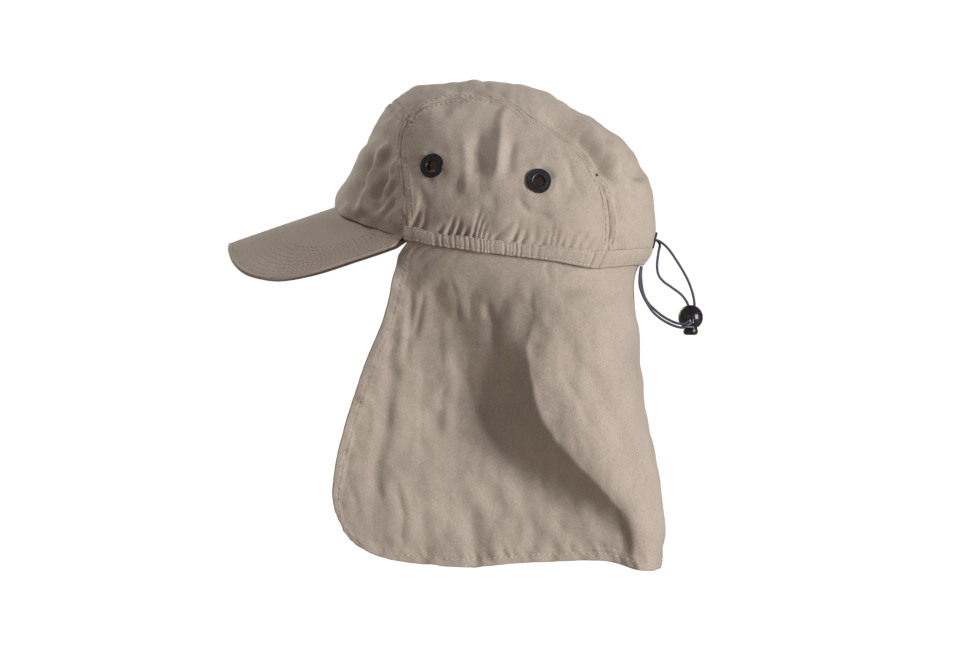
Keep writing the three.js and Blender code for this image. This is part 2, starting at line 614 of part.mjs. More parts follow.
// A point of the wall below the core, by the angle round the head from the back, and by height.
function wallPoint(angle, z, inset) {
  const front = Math.cos(angle) < 0;
  const past = Math.max(1e-6, (CORE_HEIGHT - z) / GIRTH_DROP);
  const across = front ? Math.PI - Math.abs(angle) : Math.abs(angle);
  const girth = front ? -past : Math.PI + past;
  const signed = across * Math.sign(angle || 1);
  const step = 1e-3;
  const point = crownSkin(girth, signed);
  const alongGirth = crownSkin(girth + step, signed).sub(crownSkin(girth - step, signed));
  const alongAcross = crownSkin(girth, signed + step).sub(crownSkin(girth, signed - step));
  const normal = alongGirth.cross(alongAcross).normalize();
  if (normal.x * point.x + normal.y * point.y < 0) normal.negate();
  return { point: point.addScaledVector(normal, -inset), normal };
}

// The angle round the head, from the back, at which the wall reaches x.
function wallAngle(x, z) {
  const { across } = girthOf(x, z);
  return x < 0 ? Math.PI - across : across;
}

// Band: a casing round the rim from one corner of the peak, round the back, to the other, gathered at the sides.
function band() {
  const end = seamPoint(0).x + BAND_BEHIND_SEAM;
  const start = wallAngle(end, panelFoot(end));
  const gatherEnd = wallAngle(GATHER_END, panelFoot(GATHER_END));
  const arc = (CROWN_HALF_WIDTH + CROWN_FRONT) / 2 * (start - gatherEnd);
  const gathers = Math.round(arc / GATHER_PITCH);
  const sideSteps = gathers * 3;
  const columns = 2 * sideSteps + BAND_PLAIN_STEPS;
  const angleAt = (column) => {
    if (column <= sideSteps) return -mix(start, gatherEnd, column / sideSteps);
    if (column >= columns - sideSteps) return mix(start, gatherEnd, (columns - column) / sideSteps);
    return mix(-gatherEnd, gatherEnd, (column - sideSteps) / BAND_PLAIN_STEPS);
  };
  const place = (u, v) => {
    const angle = angleAt(Math.round(u * columns));
    const x = wallPoint(angle, panelFoot(0), 0).point.x;
    const { low, high } = bandHeights(x);
    return wallPoint(angle, mix(low, high, v), 0);
  };
  const faces = (u) => {
    const column = Math.round(u * columns);
    const fromEnd = Math.min(column, columns - column);
    const inGathers = fromEnd < sideSteps && fromEnd > 0;
    const fade = Math.sin((Math.PI * Math.min(fromEnd, sideSteps)) / sideSteps) ** 0.5;
    const ripple = inGathers ? GATHER_DEPTH * fade * (fromEnd % 3 === 0 ? -1 : 0.35) : 0;
    return { out: BAND_PROUD + ripple, deep: BAND_THICKNESS - BAND_PROUD };
  };
  return sheetGeometry(columns, 2, place, faces);
}

// Peak: a curved plate from under the front panel's lower edge to its rounded outer edge.
function peak() {
  const edge = smoothTable(
    PEAK_EDGE.map((row, i) => ({ share: i / (PEAK_EDGE.length - 1), ...row })),
    "share",
  );
  const inner = (side) => {
    const { point, normal } = stripCloth(0, side);
    const flat = new THREE.Vector3(normal.x, normal.y, 0).normalize();
    const tuck = PEAK_TUCK * (1 - Math.abs(side) ** 6);
    return point.addScaledVector(flat, -tuck).add(new THREE.Vector3(0, 0, -2 * GAP));
  };
  const halfWidth = Math.abs(stripCloth(0, 1).point.y) + PEAK_FLARE;
  const outer = (side) => {
    const { across, out, down } = edge(Math.abs(side));
    return new THREE.Vector3(
      -CROWN_FRONT - out * PEAK_LENGTH,
      Math.sign(side) * across * halfWidth,
      PEAK_SEAM_HEIGHT - down * PEAK_DROP,
    );
  };
  const surface = (side, v) => inner(side).lerp(outer(side), v);
  const place = (u, v) => {
    const side = 2 * u - 1;
    const step = 1e-3;
    const across = surface(Math.min(1, side + step), v).sub(surface(Math.max(-1, side - step), v));
    const out = surface(side, Math.min(1, v + step)).sub(surface(side, Math.max(0, v - step)));
    const normal = across.cross(out).normalize();
    if (normal.z < 0) normal.negate();
    return { point: surface(side, v), normal };
  };
  const turned = (u, v) => place(1 - u, 1 - v);
  return sheetGeometry(22, 7, turned, () => ({ out: 0, deep: PEAK_THICKNESS }));
}

// Neck flap: hangs from behind the band, with one long fold on each side and a turned hem round its free edges.
const flapRows = smoothTable(FLAP_ROWS_TABLE, "t");
const flapHem = smoothTable(FLAP_HEM, "x");

function flapStation(w, row) {
  const front = row.front * FLAP_FRONT;
  const back = row.back * FLAP_BACK;
  const hemShare = 1 / (FLAP_COLUMNS / 2);
  if (w <= hemShare) return front + (HEM_WIDTH * w) / hemShare;
  const from = front + HEM_WIDTH;
  const shoulder = back - 0.75 * FLAP_HALF_WIDTH;
  const turn = 0.58;
  const along = (w - hemShare) / (1 - hemShare);
  if (along <= turn) return mix(from, shoulder, along / turn);
  return shoulder + (back - shoulder) * Math.sin(((along - turn) / (1 - turn)) * (Math.PI / 2));
}

function flapOut(x, row) {
  const front = row.front * FLAP_FRONT;
  const valley = stationOf(row.valley, FLAP_FRONT, FLAP_BACK);
  const ridge = stationOf(row.ridge, FLAP_FRONT, FLAP_BACK);
  const back = row.back * FLAP_BACK;
  if (x < valley) {
    const share = (x - front) / (valley - front);
    return mix(row.edgeOut, row.valleyOut, mix(share, share * share * (3 - 2 * share), 0.6));
  }
  if (x < ridge) {
    const share = (x - valley) / (ridge - valley);
    return mix(row.valleyOut, row.ridgeOut, mix(smooth(0, 1, share), Math.pow(share, 1.7), 0.75));
  }
  const share = Math.min(1, (x - ridge) / (back - ridge));
  return row.ridgeOut * Math.pow(1 - Math.pow(share, PLAN_POWER), 1 / SIDE_POWER);
}

function flapSurface(u, v) {
  const w = 1 - Math.abs(2 * u - 1);
  const side = u < 0.5 ? -1 : 1;
  const hemShare = 1 / FLAP_ROWS;
  const top = { x: flapStation(w, flapRows(0)) }; // where this column starts at the band
  const topZ = panelFoot(top.x) - FLAP_UNDER_PANELS;
  const foot = flapStation(w, flapRows(1));
  const hemZ = -FLAP_DROP * flapHem(shareOf(foot, FLAP_FRONT, FLAP_BACK)).drop;
  const body = topZ - hemZ - HEM_WIDTH;
  const down = v <= 1 - hemShare ? (v / (1 - hemShare)) * body : body + ((v - 1 + hemShare) / hemShare) * HEM_WIDTH;
  const z = topZ - down;
  const t = down / (topZ - hemZ);
  const row = flapRows(t);
  const x = flapStation(w, row);
  const pressed = furrowDepth(FLAP_FURROWS, x, z, FLAP_FRONT, FLAP_BACK, FLAP_DROP);
  const nearBack = 1 - smooth(0.8, 1, w);
  const out = flapOut(x, row) * FLAP_HALF_WIDTH - pressed * nearBack;
  const hanging = new THREE.Vector3(x, side * Math.max(0, out), z);
  const wallReach = CROWN_BACK * lowerWall((CORE_HEIGHT - topZ) / CORE_HEIGHT).back;
  const onWall = x > 0 ? (x * wallReach) / (row.back * FLAP_BACK) : x;
  const angle = Math.max(1e-6, wallAngle(onWall, topZ)) * side;
  const tucked = wallPoint(angle, z, BAND_THICKNESS - BAND_PROUD + GAP + FLAP_EASE).point;
  return tucked.lerp(hanging, smooth(0.035, 0.17, t));
}

function flap() {
  const place = (u, v) => {
    const step = 2e-3;
    const along = flapSurface(Math.min(1, u + step), v).sub(flapSurface(Math.max(0, u - step), v));
    const down = flapSurface(u, Math.min(1, v + step)).sub(flapSurface(u, Math.max(0, v - step)));
    return { point: flapSurface(u, v), normal: down.cross(along).normalize() };
  };
  const extra = (HEM_CLOTH - CLOTH) / 2;
  const faces = (u, v) => {
    const w = 1 - Math.abs(2 * u - 1);
    const onHem = w < 1e-6 || v > 1 - 1e-6 ? 1 : 0;
    const behindBand = v < 2 / FLAP_ROWS;
    return onHem && !behindBand ? { out: extra, deep: CLOTH + extra } : plainCloth();
  };
  return sheetGeometry(FLAP_COLUMNS, FLAP_ROWS, (u, v) => place(u, 1 - v), (u, v) => faces(u, 1 - v));
}

// A strand of the elastic cord along its route.
function strand(points) {
  const route = new THREE.CatmullRomCurve3(points.map(([x, y, z]) => new THREE.Vector3(x, y, z)), false, "centripetal");
  const section = new THREE.Shape();
  section.absarc(0, 0, CORD_DIAMETER / 2, 0, 2 * Math.PI);
  return new THREE.ExtrudeGeometry(section, { steps: 41, curveSegments: 4, extrudePath: route, bevelEnabled: false });
}

const ball = new THREE.Vector3(BALL_POSITION.x, BALL_POSITION.y, BALL_POSITION.z);
const CHANNEL_WIDTH = STRAND_SPACING + CORD_DIAMETER + 2 * CHANNEL_CLEARANCE;
const CHANNEL_HEIGHT = CORD_DIAMETER + 2 * CHANNEL_CLEARANCE;

function boxSolid(width, depth, height, z) {
  return toSolid(new THREE.BoxGeometry(width, depth, height).translate(ball.x, ball.y, ball.z + z));
}

function roundSolid(radius, low, high) {
  const rod = new THREE.CylinderGeometry(radius, radius, high - low, 20).rotateX(Math.PI / 2);
  return toSolid(rod.translate(ball.x, ball.y, ball.z + (low + high) / 2));
}

function lockBall() {
  const shell = toSolid(new THREE.SphereGeometry(BALL_RADIUS, 18, 10).rotateX(Math.PI / 2).translate(ball.x, ball.y, ball.z));
  const boreTop = PLUNGER_TRAVEL + 2 * PLUNGER_CLEARANCE;
  const bore = roundSolid(PLUNGER_RADIUS + PLUNGER_CLEARANCE, -2 * BALL_RADIUS, boreTop);
  const channel = boxSolid(CHANNEL_WIDTH, 4 * BALL_RADIUS, CHANNEL_HEIGHT, -CHANNEL_DROP);
  return toGeometry(shell.subtract(bore).subtract(channel));
}

function lockPlunger() {
  const stem = roundSolid(PLUNGER_RADIUS, -PLUNGER_REACH, 0);
  const slotHeight = CHANNEL_HEIGHT + PLUNGER_TRAVEL;
  const slot = boxSolid(CHANNEL_WIDTH, 4 * BALL_RADIUS, slotHeight, -CHANNEL_DROP - PLUNGER_TRAVEL / 2);
  return toGeometry(stem.subtract(slot));
}

addPiece("front_panel", frontPanel(), khaki);
addPiece("top_panel", topPanel(), khaki);
for (const [side, name] of [[-1, "left"], [1, "right"]]) {
  addPiece(`side_panel_${name}`, sidePanel(side), khaki);
  for (const vent of ventPlaces(side)) {
    addPiece(`vent_eyelet_${name}_${vent.name}`, eyelet(vent, VENT_RADIUS, VENT_HOLE, 14), blackEnamel);
  }
}
addPiece("band", band(), darkKhaki);
addPiece("peak", peak(), khaki);
addPiece("neck_flap", flap(), khaki);
addPiece("cord_eyelet", eyelet(cordEyeletPlace(), CORD_EYELET_RADIUS, CORD_EYELET_HOLE, 12), blackEnamel);
addPiece("cord_outer", strand(OUTER_STRAND), blackElastic);
addPiece("cord_inner", strand(INNER_STRAND), blackElastic);
addPiece("lock_ball", lockBall(), blackPlastic);
addPiece("lock_plunger", lockPlunger(), blackPlastic);

export default cap;
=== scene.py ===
import math

import bmesh
import bpy
import numpy as np
from bpy.props import FloatProperty, FloatVectorProperty, IntProperty, PointerProperty
from mathutils import Matrix, Vector
from mathutils.bvhtree import BVHTree


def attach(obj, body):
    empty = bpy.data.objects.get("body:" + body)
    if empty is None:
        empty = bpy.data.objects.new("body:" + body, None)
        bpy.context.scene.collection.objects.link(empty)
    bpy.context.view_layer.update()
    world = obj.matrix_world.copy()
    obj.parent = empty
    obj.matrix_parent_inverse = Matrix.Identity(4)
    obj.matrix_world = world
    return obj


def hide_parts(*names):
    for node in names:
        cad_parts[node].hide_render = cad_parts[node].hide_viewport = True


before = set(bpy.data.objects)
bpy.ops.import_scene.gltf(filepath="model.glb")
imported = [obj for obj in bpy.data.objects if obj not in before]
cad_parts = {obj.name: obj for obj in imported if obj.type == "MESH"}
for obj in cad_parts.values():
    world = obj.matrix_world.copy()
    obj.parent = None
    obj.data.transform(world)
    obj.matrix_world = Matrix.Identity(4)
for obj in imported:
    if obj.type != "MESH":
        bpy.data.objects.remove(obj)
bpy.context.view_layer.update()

bl_info = {
    "name": "Legionnaire cap",
    "version": (1, 0, 0),
    "blender": (4, 5, 0),
    "location": "View3D > Sidebar > Cap",
    "description": "Makes the cloth, stitching, eyelets, elastic and cord lock of a legionnaire cap",
    "category": "Object",
}

# Sizes of the cut, in millimetres. The peak points along -X and the wearer's left side faces -Y.
CROWN_FRONT = 99.0
CROWN_BACK = 100.4
CROWN_HALF_WIDTH = 80.0
CROWN_HEIGHT = 112.8
CORE_HEIGHT = 25.0
PLAN_POWER = 2.3
SIDE_POWER = 2.1
GIRTH_DROP = 90.0
BAND_THICKNESS = 1.8
BAND_PROUD = 1.1
GAP = 0.3
BAND_BEHIND_SEAM = 0.25
SEAM_STITCH = 3.1
PEAK_LENGTH = 64.5
PEAK_FLARE = -0.9
PEAK_THICKNESS = 2.8
PEAK_SEAM_HEIGHT = 35.3
PEAK_DROP = 23.6
PEAK_TUCK, PEAK_CORNER_TUCK = 2.4, 2.0
FLAP_DROP = 189.5
FLAP_FRONT = 98.3
FLAP_BACK = 106.0
FLAP_HALF_WIDTH = CROWN_HALF_WIDTH - 1.0
HEM_WIDTH, HEM_RELIEF, HEM_STITCH_IN, LOWER_STITCH_IN = 6.0, 0.8, 0.3, 1.4
FLAP_EASE = 0.9
FLAP_UNDER_PANELS = 1.8
PANEL_FOOT_SHARE = 0.62
FRONT_SHOULDER = 0.277
BACK_SHOULDER = 0.8
LEG, ARCH = 8, 20
STEPS = 2 * LEG + ARCH

# x as a share of the front or back length, z of the height above the core
CROWN_OUTLINE = [
    (-1.0, 0.0), (-0.995, 0.13), (-0.945, 0.25), (-0.889, 0.364), (-0.82, 0.506), (-0.745, 0.647),
    (-0.672, 0.788), (-0.616, 0.862), (-0.526, 0.929), (-0.338, 0.965), (-0.057, 1.0), (0.13, 0.973),
    (0.315, 0.909), (0.5, 0.796), (0.685, 0.669), (0.79, 0.585), (0.875, 0.478), (0.935, 0.37),
    (0.974, 0.255), (0.992, 0.13), (1.0, 0.0),
]
# depth below the core, and reach of the wall at the front, back and side
LOWER_WALL = [
    (0.0, 1.0, 1.0, 1.0), (0.55, 0.996, 0.994, 0.996), (0.8, 0.992, 0.966, 0.99),
    (1.0, 0.99, 0.935, 0.983), (1.2, 0.985, 0.908, 0.976), (1.6, 0.98, 0.885, 0.966),
]
# x as a share of the front or back length, z of the height
SIDE_SEAM = [
    (-0.551, 0.127), (-0.541, 0.23), (-0.549, 0.4), (-0.571, 0.58), (-0.566, 0.66), (-0.526, 0.759),
    (-0.426, 0.838), (-0.288, 0.878), (-0.113, 0.887), (0.074, 0.863), (0.235, 0.76), (0.401, 0.682),
    (0.556, 0.577), (0.624, 0.473), (0.679, 0.379), (0.71, 0.23), (0.707, 0.018),
]
# x share, and the band's lower and upper edge as shares of the core's height
BAND_LINES = [
    (-0.57, 0.544, 0.87), (-0.504, 0.484, 0.835), (-0.333, 0.364, 0.672), (-0.134, 0.244, 0.58),
    (0.166, 0.108, 0.436), (0.413, -0.012, 0.356), (0.69, -0.172, 0.272), (0.78, -0.13, 0.285),
    (0.95, -0.07, 0.34),
]
# across, out and down of the peak's outer edge, from the tip to the corner
PEAK_EDGE = [
    (0.0, 1.0, 1.0), (0.37, 0.99, 1.17), (0.66, 0.93, 1.5), (0.83, 0.79, 1.79),
    (0.925, 0.55, 1.91), (0.968, 0.2, 1.75), (0.982, -0.21, 1.4), (1.0, -0.6, 1.06),
]
# drop, front, valley, ridge, back, and how far out the edge, valley and ridge stand
FLAP_ROWS_TABLE = [
    (0.0, -0.54, -0.45, 0.19, 0.86, 0.88, 0.93, 0.98),
    (0.1, -0.618, -0.51, 0.24, 0.838, 0.86, 0.89, 1.0),
    (0.2, -0.65, -0.42, 0.24, 0.849, 0.845, 0.82, 1.0),
    (0.3, -0.706, -0.28, 0.2, 0.858, 0.835, 0.75, 0.99),
    (0.4, -0.782, -0.155, 0.217, 0.877, 0.835, 0.69, 0.98),
    (0.55, -0.874, -0.05, 0.297, 0.915, 0.85, 0.63, 0.96),
    (0.7, -0.952, 0.113, 0.509, 0.962, 0.88, 0.63, 0.88),
    (0.8, -0.988, 0.311, 0.689, 0.985, 0.91, 0.65, 0.78),
    (0.9, -0.995, 0.62, 0.79, 0.998, 0.935, 0.63, 0.67),
    (1.0, -0.932, 0.7, 0.835, 0.967, 0.95, 0.6, 0.63),
]
# x share and drop of the flap's lower edge
FLAP_HEM = [
    (-0.932, 0.869), (-0.852, 0.914), (-0.782, 0.935), (-0.69, 0.954), (-0.59, 0.967), (-0.43, 0.977),
    (-0.14, 0.989), (0.123, 0.977), (0.387, 0.97), (0.65, 0.97), (0.755, 0.984), (0.83, 0.998),
    (0.915, 1.003), (0.967, 0.998),
]
# depth, width in millimetres, and the path of each furrow as shares of the length and the height
CROWN_FURROWS = [
    (5.2, 5.5, [(0.27, 0.8), (0.4, 0.755), (0.53, 0.68), (0.645, 0.56), (0.76, 0.415)]),
    (4.2, 5.5, [(0.63, 0.73), (0.71, 0.655), (0.83, 0.545), (0.955, 0.46)]),
    (-2.2, 5.0, [(0.5, 0.79), (0.66, 0.69), (0.74, 0.575), (0.8, 0.5)]),
    (3.0, 6.0, [(-0.66, 0.72), (-0.72, 0.61), (-0.79, 0.48), (-0.83, 0.36)]),
    (2.0, 5.0, [(-0.6, 0.61), (-0.68, 0.53), (-0.7, 0.4)]),
    (-1.8, 7.0, [(0.09, 0.8), (0.05, 0.66), (0.02, 0.48), (0.06, 0.34)]),
    (1.6, 7.0, [(-0.08, 0.74), (-0.06, 0.6), (-0.1, 0.42)]),
    (1.4, 7.0, [(0.36, 0.44), (0.44, 0.38), (0.56, 0.42)]),
]
FLAP_FURROWS = [
    (2.2, 5.0, [(-0.6, -0.12), (-0.63, -0.28), (-0.66, -0.5), (-0.73, -0.68), (-0.74, -0.84)]),
    (3.0, 8.0, [(0.37, -0.25), (0.6, -0.42), (0.74, -0.6), (0.83, -0.78)]),
    (2.2, 6.0, [(0.34, -0.09), (0.55, -0.085), (0.8, -0.08)]),
    (2.6, 7.0, [(-0.16, -0.78), (-0.12, -0.88), (-0.08, -1.0)]),
    (1.8, 6.0, [(-0.44, -0.78), (-0.43, -0.88), (-0.4, -0.99)]),
]
# Fine creases, which only the cloth has
CROWN_CREASES = [
    (0.9, 2.2, [(-0.62, 0.5), (-0.7, 0.42), (-0.76, 0.33)]),
    (0.8, 2.0, [(-0.6, 0.44), (-0.66, 0.36), (-0.72, 0.28)]),
    (0.8, 2.2, [(-0.6, 0.36), (-0.66, 0.28), (-0.7, 0.22)]),
    (1.3, 2.6, [(-0.73, 0.62), (-0.8, 0.5), (-0.85, 0.4), (-0.87, 0.28)]),
    (-1.3, 3.2, [(-0.7, 0.6), (-0.76, 0.46), (-0.8, 0.34), (-0.82, 0.24)]),
    (1.2, 2.6, [(-0.64, 0.56), (-0.69, 0.46), (-0.72, 0.34), (-0.74, 0.24)]),
    (-1.0, 2.8, [(-0.61, 0.58), (-0.65, 0.48), (-0.67, 0.36)]),
    (1.0, 2.6, [(-0.62, 0.66), (-0.7, 0.56), (-0.76, 0.44)]),
    (-0.9, 2.6, [(-0.66, 0.66), (-0.74, 0.56), (-0.8, 0.42)]),
    (2.2, 2.6, [(0.27, 0.84), (0.425, 0.748), (0.543, 0.688), (0.621, 0.607), (0.673, 0.534),
                (0.766, 0.412)]),
    (-1.6, 3.6, [(0.45, 0.81), (0.6, 0.726), (0.698, 0.638), (0.741, 0.577), (0.775, 0.49)]),
    (2.0, 2.4, [(0.6, 0.75), (0.655, 0.704), (0.766, 0.594), (0.877, 0.478), (0.94, 0.44)]),
    (-1.5, 3.2, [(0.085, 0.86), (0.05, 0.76), (0.03, 0.56), (0.02, 0.45)]),
    (1.4, 3.4, [(0.12, 0.66), (0.1, 0.56), (0.09, 0.47)]),
    (1.3, 4.0, [(-0.09, 0.72), (-0.1, 0.6), (-0.12, 0.46)]),
    (0.8, 2.4, [(0.8, 0.5), (0.86, 0.38), (0.86, 0.25)]),
    (-0.9, 3.0, [(0.72, 0.5), (0.78, 0.36), (0.79, 0.22)]),
    (0.9, 2.2, [(0.8, 0.42), (0.9, 0.36), (0.97, 0.3)]),
    (0.8, 2.4, [(-0.3, 0.93), (-0.1, 0.92), (0.1, 0.9)]),
    (0.7, 2.4, [(-0.16, 0.64), (-0.08, 0.56), (-0.06, 0.46)]),
    (-0.7, 3.2, [(-0.2, 0.7), (-0.16, 0.54), (-0.18, 0.36)]),
    (0.9, 2.6, [(0.14, 0.34), (0.22, 0.26), (0.36, 0.24)]),
    (0.8, 2.6, [(-0.46, 0.42), (-0.42, 0.3), (-0.44, 0.22)]),
    (0.7, 2.4, [(0.4, 0.62), (0.46, 0.52), (0.5, 0.4)]),
    (-0.7, 3.0, [(0.3, 0.6), (0.28, 0.52), (0.24, 0.46)]),
]
FLAP_CREASES = [
    (1.8, 4.0, [(0.4, -0.055), (0.5, -0.085), (0.66, -0.098), (0.86, -0.09)]),
    (1.6, 2.6, [(0.8, -0.06), (0.815, -0.12), (0.8, -0.2)]),
    (1.3, 2.6, [(-0.5, -0.1), (-0.52, -0.2), (-0.55, -0.32)]),
    (1.0, 2.4, [(-0.42, -0.08), (-0.46, -0.18), (-0.5, -0.26)]),
    (1.0, 2.6, [(0.34, -0.12), (0.5, -0.14), (0.74, -0.12)]),
    (1.1, 3.2, [(0.4, -0.36), (0.5, -0.46), (0.56, -0.56)]),
    (-1.1, 4.0, [(0.5, -0.34), (0.62, -0.5), (0.72, -0.66)]),
    (1.0, 2.8, [(-0.06, -0.12), (0.0, -0.2), (0.02, -0.3)]),
    (1.1, 3.2, [(-0.2, -0.34), (-0.1, -0.48), (0.06, -0.62)]),
    (1.0, 3.0, [(0.72, -0.8), (0.76, -0.88), (0.74, -0.98)]),
    (0.9, 3.0, [(0.2, -0.8), (0.24, -0.88), (0.22, -0.96)]),
    (0.9, 2.6, [(-0.6, -0.72), (-0.56, -0.82), (-0.58, -0.93)]),
    (-0.9, 3.6, [(-0.3, -0.2), (-0.26, -0.4), (-0.3, -0.6)]),
]
VENTS = {"front": (-0.376, 0.517), "back": (0.278, 0.434)}
VENT_RADIUS, VENT_HOLE, VENT_RIM = 7.75, 3.25, 1.35
RIGHT_VENT_SHIFT = 9.0
CORD_EYELET_RADIUS, CORD_EYELET_HOLE, CORD_EYELET_RIM, CORD_EYELET_HEIGHT = 5.2, 2.2, 2.0, 13.6

# Routes of the elastic's two strands, in metres
OUTER_STRAND = [
    (0.0992, -0.001, 0.0136), (0.1022, -0.0011, 0.0133), (0.1075, -0.0012, 0.0094),
    (0.1147, -0.0004, -0.0006), (0.1209, 0.0016, -0.0115), (0.124, 0.004, -0.0202),
    (0.125, 0.0068, -0.0264), (0.1246, 0.0093, -0.0306), (0.1239, 0.0102, -0.0333),
    (0.1235, 0.0093, -0.0356), (0.12345, 0.0069, -0.0367), (0.12345, 0.0, -0.0367),
    (0.12345, -0.0069, -0.0367), (0.1229, -0.0099, -0.0374), (0.1207, -0.0118, -0.039),
    (0.1174, -0.0122, -0.0406), (0.1132, -0.0114, -0.0399), (0.1078, -0.0102, -0.0376),
    (0.1026, -0.0096, -0.0343), (0.0985, -0.0098, -0.0304), (0.0955, -0.0106, -0.0259),
    (0.0928, -0.0115, -0.021), (0.0907, -0.0121, -0.0147), (0.0907, -0.0124, -0.0082),
    (0.0915, -0.0124, -0.0026),
]
INNER_STRAND = [
    (0.0992, 0.001, 0.0136), (0.1016, 0.001, 0.0133), (0.1033, 0.0011, 0.0111),
    (0.1026, 0.0012, 0.0062), (0.1017, 0.0013, -0.002), (0.1026, 0.0018, -0.0079),
    (0.1058, 0.0027, -0.0121), (0.1113, 0.004, -0.016), (0.1172, 0.0058, -0.0206),
    (0.121, 0.008, -0.0264), (0.1213, 0.0098, -0.031), (0.12135, 0.01, -0.0335),
    (0.12135, 0.0092, -0.0356), (0.12135, 0.0069, -0.0367), (0.12135, 0.0, -0.0367),
    (0.12135, -0.0069, -0.0367), (0.1208, -0.009, -0.0369), (0.1183, -0.0103, -0.0383),
    (0.1139, -0.0102, -0.0379), (0.1088, -0.0092, -0.0358), (0.1038, -0.0086, -0.0327),
    (0.0997, -0.0084, -0.0292), (0.0961, -0.0086, -0.0255), (0.0935, -0.0095, -0.0208),
    (0.092, -0.0105, -0.0145), (0.0915, -0.0103, -0.0082), (0.0919, -0.0103, -0.0026),
]
STRANDS = {"outer": OUTER_STRAND, "inner": INNER_STRAND}
BALL = Vector((122.4, 0.0, -34.3))
BALL_RADIUS, PLUNGER_RADIUS, PLUNGER_CLEARANCE, PLUNGER_TRAVEL, PLUNGER_REACH = 7.7, 4.6, 0.35, 2.5, 10.9
CHANNEL_DROP, CHANNEL_WIDTH, CHANNEL_HEIGHT = 2.4, 4.4, 2.3
CORD_DIAMETER, CORD_PLAY = 1.6, 0.3
HOLE_MARGIN = 1.0

MM = 0.001  # a millimetre in metres
UV_UNIT = 100  # millimetres of cloth to one unit of its UV map
BRAID_LENGTH = 0.0022  # metres of elastic to one unit of its UV map
MERGE = 1e-6  # points closer than this, in metres, become one

# Points across and along each piece's cloth, and the steps of the turned pieces
SIDE_GRID, FRONT_GRID, TOP_GRID = (210, 150), (170, 130), (150, 300)
BAND_GRID, PEAK_GRID, FLAP_GRID = (1100, 14), (170, 60), (321, 128)
PEAK_RIM_STEPS, FLAP_HEM_STEPS, FLAP_HEM_FROM = 9, 9, 0.96
RING_STEPS, LOCK_STEPS, CORD_SIDES = 48, 56, 12

# Where each piece's seeds start
SIDE_SEEDS = {-1: 11, 1: 41}
BAND_SEED, EYELET_SEED, FRONT_SEED, TOP_SEED, PEAK_SEED, FLAP_SEED = 5, 70, 81, 91, 101, 111

# Depth, and size along x and z, of the waves and creases of worn cloth, in millimetres
BROAD_WAVES, DENTS, FINE_WAVES, SHARP_CREASES = (1.0, 26, 30), (0.7, 11, 15), (0.4, 6, 9), (0.55, 9, 17)
SIDE_UNEVENNESS, TOP_UNEVENNESS, FRONT_UNEVENNESS = 0.8, 1.1, 1.7
FRONT_CREASES_DEEPER = 0.9
CALM_BY_SEAM = 5

# How deep the band's cloth lies in its solid, and x of its two joins
BAND_LYING, BAND_JOINS = 0.35, (63.4, 69.7)

# Shape of a stitch: its share of the pitch, its height as a share of its width, and its lift in metres
STITCH_SHARE, STITCH_HEIGHT, STITCH_LIFT, STITCH_LOT = 0.74, 0.42, 0.00018, 50
BAND_STITCH, FLAP_STITCH, PEAK_STITCH, PEAK_THREAD_WIDTH = 0.0026, 0.0035, 0.003, 0.0003
BAND_STITCH_ROWS = (11, 2)
# Distances of the peak's rows of stitches from its edge
PEAK_BINDING = 2.6
PEAK_ROWS = [6.5 + 4.2 * k for k in range(8)]

# The photograph's viewpoint in metres, and its lens and sensor in millimetres
CAMERA_PLACE, CAMERA_LENS, CAMERA_SENSOR, CAMERA_REACH = (-0.0025, -5.0, -0.039), 297, 36, 100
FLOOR_HEIGHT, FLOOR_HALF = -0.36, 30
SKY_SEEN, SKY_LIGHT, SKY_TINT = 1.05, 0.12, (1, 0.82, 0.7, 1)
# Name, place and size in metres, and power in watts
LAMPS = [
    ("key", (2.4, -1.4, 0.35), 1.0, 81),
    ("top", (-1.3, 0.4, 2.2), 1.2, 28),
    ("fill", (-1.0, -2.8, 0.3), 2.0, 7),
    ("far_side", (-1.8, 2.6, 0.9), 2.0, 46),
]
LAMP_AIM, LAMP_COLOUR = Vector((0, 0, -0.03)), (1, 0.985, 0.965)


